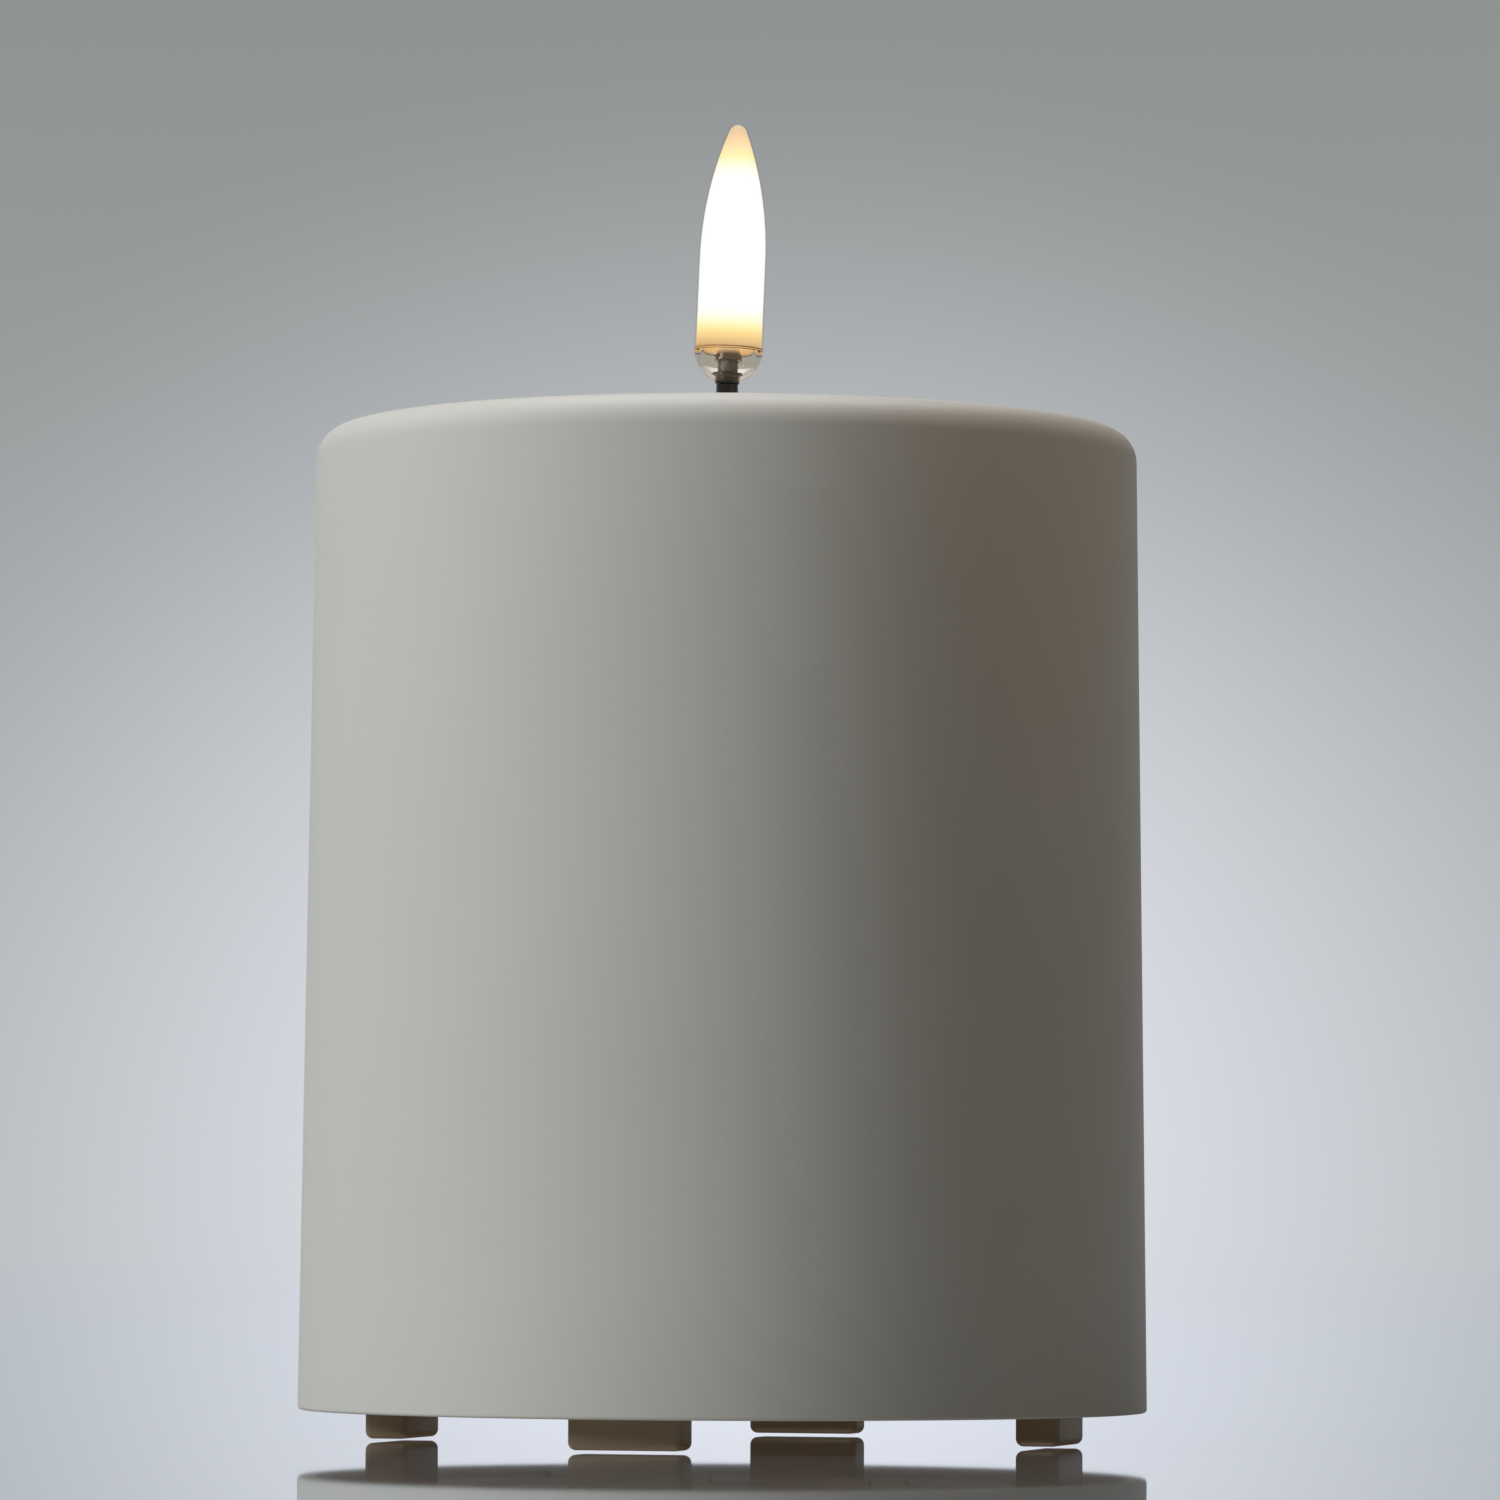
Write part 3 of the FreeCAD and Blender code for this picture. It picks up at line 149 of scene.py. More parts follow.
def arc(middle, radius, first, last, steps):
    """Points of an arc from one angle to another, in degrees."""
    angles = [math.radians(first + (last - first) * step / steps) for step in range(steps + 1)]
    return [(middle[0] + radius * math.cos(a), middle[1] + radius * math.sin(a)) for a in angles]


def finish_mesh(name, mesh, materials=(), place=None):
    """Turn a bmesh into an object with outward faces, smooth sides and sharp corners."""
    bmesh.ops.remove_doubles(mesh, verts=mesh.verts, dist=MERGE)
    bmesh.ops.recalc_face_normals(mesh, faces=mesh.faces)
    for face in mesh.faces:
        face.smooth = True
    for edge in mesh.edges:
        edge.smooth = len(edge.link_faces) == 2 and edge.calc_face_angle() < math.radians(CORNER_ANGLE)
    if place is not None:
        mesh.transform(place)
    data = bpy.data.meshes.new(name)
    mesh.to_mesh(data)
    mesh.free()
    for material in materials:
        data.materials.append(material)
    return linked(name, data)


def turned(name, profile, material=None, sides=FINE_SIDES, place=None):
    """A closed solid of revolution about Z, from its profile of (radius, height) points.
    A point on the axis becomes a pole."""
    mesh = bmesh.new()
    spokes = [(math.cos(2 * math.pi * k / sides), math.sin(2 * math.pi * k / sides)) for k in range(sides)]
    rings = []
    for radius, height in profile:
        points = [(radius * x, radius * y) for x, y in spokes] if radius > TOUCHING else [(0, 0)]
        rings.append([mesh.verts.new((x, y, height)) for x, y in points])
    for ring, following in zip(rings, rings[1:] + rings[:1]):
        for k in range(sides):
            after = (k + 1) % sides
            corners = [ring[k % len(ring)], ring[after % len(ring)],
                       following[after % len(following)], following[k % len(following)]]
            corners = list(dict.fromkeys(corners))
            if len(corners) > 2:
                mesh.faces.new(corners)
    return finish_mesh(name, mesh, [material] if material else (), place)


def slab(name, outline, low, high, material, place=None):
    """A plate of any outline between two levels."""
    mesh = bmesh.new()
    lower = [mesh.verts.new((x, y, low)) for x, y in outline]
    upper = [mesh.verts.new((x, y, high)) for x, y in outline]
    mesh.faces.new(lower)
    mesh.faces.new(upper)
    for k in range(len(outline)):
        after = (k + 1) % len(outline)
        mesh.faces.new((lower[k], lower[after], upper[after], upper[k]))
    return finish_mesh(name, mesh, [material] if material else (), place)


def block(name, size, middle, material=None):
    """A square block about its middle."""
    x, y = size[0] / 2, size[1] / 2
    outline = [(-x, -y), (x, -y), (x, y), (-x, y)]
    return slab(name, outline, -size[2] / 2, size[2] / 2, material, Matrix.Translation(middle))


def applied(piece):
    """Make a piece's modifiers part of its mesh, and mark its corners again."""
    seen = piece.evaluated_get(bpy.context.evaluated_depsgraph_get())
    data = bpy.data.meshes.new_from_object(seen)
    name, materials = piece.name, list(data.materials)
    mesh = bmesh.new()
    mesh.from_mesh(data)
    bpy.data.objects.remove(piece)
    bpy.data.meshes.remove(data)
    return finish_mesh(name, mesh, materials)


def modified(piece, name, kind, **settings):
    """A piece with one modifier, made part of its mesh."""
    modifier = piece.modifiers.new(name, kind)
    for word, value in settings.items():
        setattr(modifier, word, value)
    return applied(piece)


def rounded(piece, width, segments=2):
    """Round a piece's corners by a small radius."""
    return modified(piece, "edge_rounding", "BEVEL", width=width, segments=segments,
                    limit_method="ANGLE", angle_limit=math.radians(CORNER_ANGLE))


def carved(piece, tool, operation="DIFFERENCE"):
    """Cut a tool out of a piece, or join it on."""
    piece = modified(piece, "carving", "BOOLEAN", operation=operation, solver="EXACT", object=tool)
    bpy.data.objects.remove(tool)
    return piece


def joined(name, pieces):
    """One piece of several, each with its own materials."""
    mesh = bmesh.new()
    materials = []
    for piece in pieces:
        known = len(mesh.faces)
        mesh.from_mesh(piece.data)
        own = list(piece.data.materials)
        materials += [material for material in own if material not in materials]
        mesh.faces.ensure_lookup_table()
        for index in range(known, len(mesh.faces)):
            face = mesh.faces[index]
            face.material_index = materials.index(own[face.material_index]) if own else 0
        bpy.data.objects.remove(piece)
    return finish_mesh(name, mesh, materials)


def copy_of(node, name, material):
    """A copy of a CAD node with its triangles joined up."""
    mesh = bmesh.new()
    mesh.from_mesh(frame["nodes"][node].data)
    for face in mesh.faces:
        face.material_index = 0
    bmesh.ops.remove_doubles(mesh, verts=mesh.verts, dist=MERGE)
    bmesh.ops.dissolve_limit(mesh, angle_limit=math.radians(FLAT_ANGLE), verts=mesh.verts, edges=mesh.edges)
    return finish_mesh(name, mesh, [material])


BODY_OF = {node: body for body, nodes in frame["record"]["behaviour"]["bodies"].items() for node in nodes}


def stand_for(piece, node):
    """Put a piece in the place of a CAD node, on its body."""
    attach(piece, BODY_OF[node])
    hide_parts(node)


# Nodes

def linear(code):
    """An sRGB hex colour as linear numbers."""
    parts = [int(code[i:i + 2], 16) / 255 for i in (1, 3, 5)]
    return tuple(c / 12.92 if c <= 0.04045 else ((c + 0.055) / 1.055) ** 2.4 for c in parts) + (1.0,)


def feed(socket, value):
    """Set a socket to a plain value, or link it to a node, an output or a list of them.
    A node stands for its first output in use."""
    for source in value if isinstance(value, list) else [value]:
        if isinstance(source, bpy.types.Node):
            source = next(output for output in source.outputs if output.enabled)
        if isinstance(source, bpy.types.NodeSocket):
            socket.id_data.links.new(source, socket)
        else:
            socket.default_value = source


def add(tree, kind, sockets=None, **settings):
    """Add a node with its settings, and feed its sockets."""
    made = tree.nodes.new(kind)
    for name, value in settings.items():
        setattr(made, name, value)
    for name, value in (sockets or {}).items():
        feed(made.inputs[name], value)
    return made


# Materials

def new_material(name, **sockets):
    """A material whose Principled shader has its constant sockets set by plain words."""
    made = bpy.data.materials.new(name)
    made.use_nodes = True
    shader = made.node_tree.nodes["Principled BSDF"]
    for word, value in sockets.items():
        feed(shader.inputs[word.replace("_", " ").title().replace("Ior", "IOR")], value)
    return made, made.node_tree


def bare_material(name):
    """A material without nodes, for one that isn't a Principled shader."""
    made = bpy.data.materials.new(name)
    made.use_nodes = True
    made.node_tree.nodes.clear()
    return made, made.node_tree


def pattern(tree, size, stretch=(1, 1, 1), detail=3.0):
    """Noise with grains of a real size, drawn out along an axis by its stretch."""
    where = add(tree, "ShaderNodeTexCoord").outputs["Object"]
    drawn = add(tree, "ShaderNodeMapping", {"Vector": where, "Scale": stretch})
    return add(tree, "ShaderNodeTexNoise", {"Vector": drawn, "Scale": 1 / size, "Detail": detail})


# Most of a noise pattern lies between these two shares.
NOISE_SHARES = (0.3, 0.7)


def vary(tree, socket, factor, low, high):
    """Drive a socket of the Principled shader between two values. Colours are hex codes."""
    if isinstance(low, str):
        mixed = add(tree, "ShaderNodeMix", {"Factor": factor, "A": linear(low), "B": linear(high)},
                    data_type="RGBA")
    else:
        mixed = add(tree, "ShaderNodeMapRange", {"Value": factor, "From Min": NOISE_SHARES[0],
                                                 "From Max": NOISE_SHARES[1], "To Min": low, "To Max": high})
    feed(tree.nodes["Principled BSDF"].inputs[socket], mixed)


def relief(tree, height, depth):
    """Let the surface look raised and sunk by a pattern of a real depth."""
    bump = add(tree, "ShaderNodeBump", {"Height": height, "Strength": 0.3, "Distance": depth})
    feed(tree.nodes["Principled BSDF"].inputs["Normal"], bump)


def moulded_plastic(name, pale, deep, roughness, grain, drift=28 * MM, scatter=0.0):
    """Injection moulded plastic. The spark-eroded tool leaves a fine even grain, and walls of
    uneven thickness cool unevenly, so the tone drifts a little over centimetres."""
    made, tree = new_material(name, ior=1.5, subsurface_weight=scatter, subsurface_scale=2.0 * MM)
    vary(tree, "Base Color", pattern(tree, drift, detail=2.0), pale, deep)
    eroded = pattern(tree, grain)
    vary(tree, "Roughness", eroded, roughness - 0.05, roughness + 0.06)
    relief(tree, eroded, 0.015 * MM)
    return made


def plated_metal(name, pale, deep, roughness, stretch=(1, 1, 1), grain=0.25 * MM):
    """Plated steel: a thin bright coat over rolled or drawn lines, a little duller where it
    has been handled."""
    made, tree = new_material(name, metallic=1.0)
    vary(tree, "Base Color", pattern(tree, 3 * MM), pale, deep)
    lines = pattern(tree, grain, stretch, detail=4.0)
    vary(tree, "Roughness", lines, roughness - 0.06, roughness + 0.1)
    relief(tree, lines, 0.006 * MM)
    return made


def soft_rubber(name, pale, deep):
    """Moulded silicone: dull, with a dusty bloom in patches."""
    made, tree = new_material(name, ior=1.41, sheen_weight=0.08, sheen_roughness=0.5)
    vary(tree, "Base Color", pattern(tree, 2.5 * MM), pale, deep)
    vary(tree, "Roughness", pattern(tree, 0.3 * MM), 0.55, 0.72)
    return made


def wire_insulation(name, pale, deep):
    """Extruded PVC insulation: smooth and slightly waxy, with faint lengthwise die lines."""
    made, tree = new_material(name, ior=1.53)
    vary(tree, "Base Color", pattern(tree, 1.5 * MM), pale, deep)
    lines = pattern(tree, 0.12 * MM, (1, 1, 0.15))
    vary(tree, "Roughness", lines, 0.3, 0.42)
    relief(tree, lines, 0.005 * MM)
    return made


def cured_adhesive(name, pale, deep):
    """Adhesive that cured in a thin bead: a soft gloss and a slightly uneven tone."""
    made, tree = new_material(name, ior=1.5)
    vary(tree, "Base Color", pattern(tree, 0.5 * MM), pale, deep)
    vary(tree, "Roughness", pattern(tree, 0.3 * MM), 0.2, 0.35)
    return made


def ring_lacquer(name, code):
    """Lacquer rolled on in a narrow ring: one even colour with a soft gloss."""
    made, tree = new_material(name, base_color=linear(code), ior=1.5)
    vary(tree, "Roughness", pattern(tree, 0.2 * MM), 0.3, 0.4)
    return made


def board_laminate(name):
    """Glass epoxy laminate under green solder varnish. The tracks below the varnish show as
    paler, slightly raised bands, and the glass weave as a fine square grid."""
    made, tree = new_material(name, roughness=0.3, ior=1.55, coat_weight=0.4, coat_roughness=0.12)
    where = add(tree, "ShaderNodeTexCoord").outputs["Object"]
    white, black = linear("#ffffff"), linear("#000000")
    tracks = add(tree, "ShaderNodeTexBrick", {
        "Vector": where, "Color1": white, "Color2": black, "Mortar": black, "Scale": 1.0,
        "Mortar Size": 0.28 * MM, "Mortar Smooth": 0.1, "Brick Width": 7.5 * MM, "Row Height": 1.3 * MM})
    vary(tree, "Base Color", tracks, "#174f2c", "#2c7a45")
    weave = add(tree, "ShaderNodeTexChecker", {"Vector": where, "Scale": 1 / (0.4 * MM)}).outputs["Fac"]
    height = add(tree, "ShaderNodeMath", {0: weave, 1: 0.15, 2: tracks}, operation="MULTIPLY_ADD")
    relief(tree, height, 0.02 * MM)
    return made


shell_abs = moulded_plastic("abs_ivory_moulded_satin", "#d3d0c5", "#cecbbf", 0.46, 0.5 * MM, scatter=0.05)
# The base is a darker, warmer beige than the shell. Part of that step down is painted shade, for the shadow
# that the shell casts on the feet.
base_abs = moulded_plastic("abs_beige_satin_shade_darkened", "#c0aa8c", "#b7a184", 0.45, 0.35 * MM)
black_abs = moulded_plastic("abs_black_moulded_matt", "#29292b", "#202022", 0.5, 0.3 * MM, 9 * MM)
knob_nylon = moulded_plastic("nylon_black_moulded", "#19191a", "#121213", 0.42, 0.2 * MM, 3 * MM)
wick_pvc = moulded_plastic("pvc_black_satin_tube", "#1a1715", "#12100f", 0.4, 0.2 * MM, 3 * MM)
stem_abs = moulded_plastic("abs_dark_grey_moulded", "#55524d", "#484540", 0.5, 0.2 * MM, 2 * MM)
chip_epoxy = moulded_plastic("epoxy_black_transfer_moulded", "#1c1c1e", "#151517", 0.62, 0.12 * MM, 2 * MM)
plug_nylon = moulded_plastic("nylon_natural_moulded", "#e4dfcf", "#d9d3c0", 0.36, 0.25 * MM, 3 * MM,
                             scatter=0.1)
sleeve_pvc = moulded_plastic("pvc_shrink_sleeve_navy", "#272f45", "#1f263a", 0.28, 0.6 * MM, 4 * MM)
resistor_lacquer = moulded_plastic("epoxy_lacquer_beige", "#cdb48a", "#c2a87c", 0.34, 0.3 * MM, 2 * MM)
cell_film = moulded_plastic("metallised_film_graphite", "#5e6166", "#55585d", 0.3, 0.8 * MM, 12 * MM)
cell_band = moulded_plastic("metallised_film_silver", "#a6a8aa", "#9b9da0", 0.27, 0.8 * MM, 12 * MM)
silicone = soft_rubber("silicone_black_moulded", "#232324", "#1a1a1b")
insulation_black = wire_insulation("pvc_insulation_black", "#1b1b1b", "#131313")
insulation_red = wire_insulation("pvc_insulation_red", "#a8231c", "#961b16")
zinc_steel = plated_metal("steel_zinc_plated", "#b9b9b4", "#a5a6a3", 0.34)
nickel_strip = plated_metal("steel_strip_nickel_plated", "#cdc9bf", "#bdb9af", 0.26, (0.08, 1, 1))
nickel_wire = plated_metal("spring_wire_nickel_plated", "#cac7bf", "#b8b5ad", 0.24, grain=0.15 * MM)
drawn_pin = plated_metal("steel_pin_drawn", "#adadab", "#9c9c9b", 0.3, (0.08, 1, 1))
tinned_sheet = plated_metal("steel_sheet_tinned", "#bcbcb7", "#a9aaa6", 0.38, (0.1, 1, 1))
can_steel = plated_metal("steel_can_nickel_plated", "#bfbdb6", "#aeaca6", 0.3, grain=0.5 * MM)
solder = plated_metal("tin_solder_reflowed", "#c4c6c6", "#adb0b1", 0.3, grain=0.3 * MM)
amber = cured_adhesive("adhesive_amber_cured", "#b08449", "#9a713b")
varnished_board = board_laminate("glass_epoxy_green_varnish")


# Geometry trees: what repeats, follows a path or is swept round

def new_tree(name, **sizes):
    """A geometry tree whose inputs are named sizes, with their usual values."""
    tree = bpy.data.node_groups.new(name, "GeometryNodeTree")
    for way in ("INPUT", "OUTPUT"):
        tree.interface.new_socket("Geometry", in_out=way, socket_type="NodeSocketGeometry")
    kinds = {int: "NodeSocketInt", float: "NodeSocketFloat", tuple: "NodeSocketVector"}
    for word, value in sizes.items():
        socket = tree.interface.new_socket(word, in_out="INPUT", socket_type=kinds[type(value)])
        socket.default_value = value
    tree.interface.new_socket("material", in_out="INPUT", socket_type="NodeSocketMaterial")
    return tree, tree.nodes.new("NodeGroupInput").outputs


def close_tree(tree, geometry, given):
    """End a tree with real geometry in its material."""
    smooth = add(tree, "GeometryNodeSetShadeSmooth", {"Geometry": geometry})
    real = add(tree, "GeometryNodeRealizeInstances", {"Geometry": smooth})
    dressed = add(tree, "GeometryNodeSetMaterial", {"Geometry": real, "Material": given["material"]})
    add(tree, "NodeGroupOutput", {"Geometry": dressed})
    return tree


def grown(name, tree, material, start, **sizes):
    """The plain mesh that a tree makes, from a starting mesh and its sizes."""
    data = start.data.copy()
    bpy.data.objects.remove(start)
    piece = linked(name, data)
    growth = piece.modifiers.new("growth", "NODES")
    growth.node_group = tree
    values = dict(sizes, material=material)
    for socket in tree.interface.items_tree:
        if socket.in_out == "INPUT" and socket.name in values:
            growth[socket.identifier] = values[socket.name]
    return applied(piece)


def make_line_tree():
    """Copies of the start mesh in a straight row."""
    tree, given = new_tree("row_of_copies", count=5, first=(0.0, 0.0, 0.0), step=(1 * MM, 0.0, 0.0))
    line = add(tree, "GeometryNodeMeshLine",
               {"Count": given["count"], "Start Location": given["first"], "Offset": given["step"]})
    copies = add(tree, "GeometryNodeInstanceOnPoints", {"Points": line, "Instance": given["Geometry"]})
    return close_tree(tree, copies, given)


def make_ring_tree():
    """Copies of the start mesh round the Z axis, each turned to face outwards."""
    tree, given = new_tree("ring_of_copies", count=4, radius=40 * MM, first_turn=0.0)
    ring = add(tree, "GeometryNodeMeshCircle", {"Vertices": given["count"], "Radius": given["radius"]})
    number = add(tree, "GeometryNodeInputIndex")
    step = add(tree, "ShaderNodeMath", {0: 2 * math.pi, 1: given["count"]}, operation="DIVIDE")
    turn = add(tree, "ShaderNodeMath", {0: number, 1: step}, operation="MULTIPLY")
    axis = add(tree, "ShaderNodeCombineXYZ", {"Z": turn})
    copies = add(tree, "GeometryNodeInstanceOnPoints",
                 {"Points": ring, "Instance": given["Geometry"], "Rotation": axis})
    whole_turn = add(tree, "ShaderNodeCombineXYZ", {"Z": given["first_turn"]})
    placed = add(tree, "GeometryNodeTransform", {"Geometry": copies, "Rotation": whole_turn})
    return close_tree(tree, placed, given)


def make_corner_tree():
    """A copy of the start mesh at each corner of a rectangle."""
    tree, given = new_tree("four_corners", length=10 * MM, width=10 * MM)
    grid = add(tree, "GeometryNodeMeshGrid", {"Size X": given["length"], "Size Y": given["width"],
                                              "Vertices X": 2, "Vertices Y": 2})
    copies = add(tree, "GeometryNodeInstanceOnPoints", {"Points": grid, "Instance": given["Geometry"]})
    return close_tree(tree, copies, given)


def make_tube_tree():
    """A wire or bead that follows the start mesh, which is a line of edges."""
    tree, given = new_tree("tube_on_path", radius=0.4 * MM, sides=WIRE_SIDES)
    path = add(tree, "GeometryNodeMeshToCurve", {"Mesh": given["Geometry"]})
    level = add(tree, "GeometryNodeSetCurveNormal", {"Curve": path}, mode="Z_UP")
    section = add(tree, "GeometryNodeCurvePrimitiveCircle",
                  {"Resolution": given["sides"], "Radius": given["radius"]}, mode="RADIUS")
    tube = add(tree, "GeometryNodeCurveToMesh", {"Curve": level, "Profile Curve": section, "Fill Caps": True})
    return close_tree(tree, tube, given)


def make_shell_tree():
    """The pillar: its profile swept round the axis, with screw bosses that grow from the
    wall and a blind hole in each."""
    tree, given = new_tree("pillar_shell", path_radius=50 * MM, sides=TURN_SIDES, boss_count=4,
                           boss_circle=44 * MM, boss_turn=SCREW_TURN, boss_radius=4 * MM,
                           boss_height=20 * MM, boss_level=18 * MM, hole_radius=1.3 * MM,
                           hole_depth=12 * MM, hole_level=14 * MM)
    profile = add(tree, "GeometryNodeMeshToCurve", {"Mesh": given["Geometry"]})
    path = add(tree, "GeometryNodeCurvePrimitiveCircle",
               {"Resolution": given["sides"], "Radius": given["path_radius"]}, mode="RADIUS")
    wall = add(tree, "GeometryNodeCurveToMesh", {"Curve": path, "Profile Curve": profile})
    ring = add(tree, "GeometryNodeMeshCircle",
               {"Vertices": given["boss_count"], "Radius": given["boss_circle"]})
    turn = add(tree, "ShaderNodeCombineXYZ", {"Z": given["boss_turn"]})
    pillars = []
    for radius, height, level in (("boss_radius", "boss_height", "boss_level"),
                                  ("hole_radius", "hole_depth", "hole_level")):
        post = add(tree, "GeometryNodeMeshCylinder",
                   {"Vertices": SMALL_SIDES, "Radius": given[radius], "Depth": given[height]})
        posts = add(tree, "GeometryNodeInstanceOnPoints", {"Points": ring, "Instance": post})
        lift = add(tree, "ShaderNodeCombineXYZ", {"Z": given[level]})
        placed = add(tree, "GeometryNodeTransform",
                     {"Geometry": posts, "Rotation": turn, "Translation": lift})
        pillars.append(add(tree, "GeometryNodeRealizeInstances", {"Geometry": placed}))
    bosses, holes = pillars
    whole = add(tree, "GeometryNodeMeshBoolean", {"Mesh 2": [wall, bosses]},
                operation="UNION", solver="EXACT")
    bored = add(tree, "GeometryNodeMeshBoolean", {"Mesh 1": whole, "Mesh 2": holes},
                operation="DIFFERENCE", solver="EXACT")
    return close_tree(tree, bored, given)


row_of_copies = make_line_tree()
ring_of_copies = make_ring_tree()
four_corners = make_corner_tree()
tube_on_path = make_tube_tree()
pillar_shell = make_shell_tree()


def path_mesh(name, points, closed=False):
    """A line of edges through points, for a tree to follow."""
    mesh = bmesh.new()
    verts = [mesh.verts.new(point) for point in points]
    for start, end in zip(verts, verts[1:] + (verts[:1] if closed else [])):
        mesh.edges.new((start, end))
    data = bpy.data.meshes.new(name)
    mesh.to_mesh(data)
    mesh.free()
    return linked(name, data)


def wire(name, points, radius, material, closed=False, sides=WIRE_SIDES):
    """A round wire, or a bead, through points."""
    return grown(name, tube_on_path, material, path_mesh(name, points, closed), radius=radius, sides=sides)


def ends_round(x, y, apart, radius, steps):
    """Outline of two half rounds joined by straight sides."""
    return arc((x + apart, y), radius, -90, 90, steps) + arc((x - apart, y), radius, 90, 270, steps)


# Candle shell: tapered wall, rounded shoulder, slightly crowned top, sleeve for the wick

def shell_profile():
    level = SHELL_TOP - CROWN_RISE
    crown_radius = (TOP_RADIUS ** 2 + CROWN_RISE ** 2) / (2 * CROWN_RISE)
    crown_middle = SHELL_TOP - crown_radius
    slope = math.atan2(RIM_RADIUS - TOP_RADIUS, level - RIM_GAP)
    # The shoulder's arc touches the wall and the crown. Halving finds where.
    inset_x, inset_z = SHOULDER_RADIUS * math.cos(slope), SHOULDER_RADIUS * math.sin(slope)
    low, high = 0.0, SHOULDER_RADIUS * 3
    halvings, wall_steps = 60, 8
    for _ in range(halvings):
        drop = (low + high) / 2
        wall_radius = TOP_RADIUS + drop * math.tan(slope)
        middle = (wall_radius - inset_x, level - drop - inset_z)
        reach = math.hypot(middle[0], middle[1] - crown_middle) + SHOULDER_RADIUS
        low, high = (low, drop) if reach < crown_radius else (drop, high)
    crown_angle = math.degrees(math.atan2(middle[1] - crown_middle, middle[0]))
    hole_angle = math.degrees(math.acos(WICK_HOLE_RADIUS / crown_radius))
    inner = crown_radius - SHELL_WALL
    inner_top = TOP_RADIUS - SHELL_WALL
    inner_shoulder = SHOULDER_RADIUS - SHELL_WALL
    sleeve_radius = WICK_HOLE_RADIUS + WICK_SLEEVE_WALL
    sleeve_bottom = SHELL_TOP - SHELL_WALL - WICK_SLEEVE_DEPTH
    inner_level = crown_middle + math.sqrt(inner ** 2 - inner_top ** 2)
    profile = [(RIM_RADIUS - SHELL_WALL, RIM_GAP)]
    profile += arc((RIM_RADIUS - RIM_EDGE, RIM_GAP + RIM_EDGE), RIM_EDGE, -90, math.degrees(slope), 5)
    wall_bottom = profile[-1]
    rise = (middle[0] + inset_x - wall_bottom[0], middle[1] + inset_z - wall_bottom[1])
    profile += [(wall_bottom[0] + rise[0] * k / wall_steps, wall_bottom[1] + rise[1] * k / wall_steps)
                for k in range(1, wall_steps)]
    profile += arc(middle, SHOULDER_RADIUS, math.degrees(slope), crown_angle, 14)
    profile += arc((0, crown_middle), crown_radius, crown_angle, hole_angle, 12)[1:-1]
    hole_round = (WICK_HOLE_RADIUS + WICK_HOLE_EDGE, SHELL_TOP - WICK_HOLE_EDGE)
    profile += arc(hole_round, WICK_HOLE_EDGE, 90, 180, 5)
    profile += [(WICK_HOLE_RADIUS, sleeve_bottom), (sleeve_radius, sleeve_bottom)]
    profile += [(sleeve_radius, crown_middle + math.sqrt(inner ** 2 - sleeve_radius ** 2))]
    profile += arc((inner_top - inner_shoulder, inner_level - inner_shoulder), inner_shoulder, 90, 0, 6)
    return profile


def make_shell():
    # The sweep reads its section with X outwards and Y down.
    section = path_mesh("shell_section", [(r - RIM_RADIUS, -z, 0) for r, z in shell_profile()], closed=True)
    shell = grown("candle_shell_moulding", pillar_shell, shell_abs, section, path_radius=RIM_RADIUS,
                  boss_circle=SCREW_CIRCLE, boss_radius=BOSS_RADIUS, boss_height=BOSS_HEIGHT,
                  boss_level=PLATE_TOP + BOSS_HEIGHT / 2, hole_radius=BOSS_HOLE_RADIUS,
                  hole_depth=BOSS_HOLE_DEPTH + OVERRUN,
                  hole_level=PLATE_TOP + (BOSS_HOLE_DEPTH - OVERRUN) / 2)
    stand_for(shell, "candle_shell")


make_shell()


# Base plate: feet, screw collars, marks beside the switch

def make_foot():
    """A foot with soft corners, sunk a little into the plate."""
    mesh = bmesh.new()
    height = PLATE_BOTTOM + OVERRUN
    bmesh.ops.create_cube(mesh, size=1.0)
    size = Matrix.Diagonal((FOOT_DEPTH, FOOT_WIDTH, height, 1))
    mesh.transform(Matrix.Translation((0, 0, height / 2)) @ size)
    edges = [edge for edge in mesh.edges if min(vert.co.z for vert in edge.verts) < height / 2]
    bmesh.ops.bevel(mesh, geom=edges, offset=FOOT_ROUND, segments=6, profile=0.5, affect="EDGES")
    return finish_mesh("foot", mesh)


def make_screw_collar():
    """A raised collar round a screw."""
    inner = SCREW_HEAD_RADIUS + 0.36 * MM
    outer = inner + 0.8 * MM
    low = PLATE_BOTTOM - 0.35 * MM
    edge = 0.2 * MM
    ring = [(inner, PLATE_BOTTOM + OVERRUN), (outer, PLATE_BOTTOM + OVERRUN)]
    ring += arc((outer - edge, low + edge), edge, 0, -90, 4)
    ring += arc((inner + edge, low + edge), edge, -90, -180, 4)
    return turned("collar", ring, sides=SMALL_SIDES)


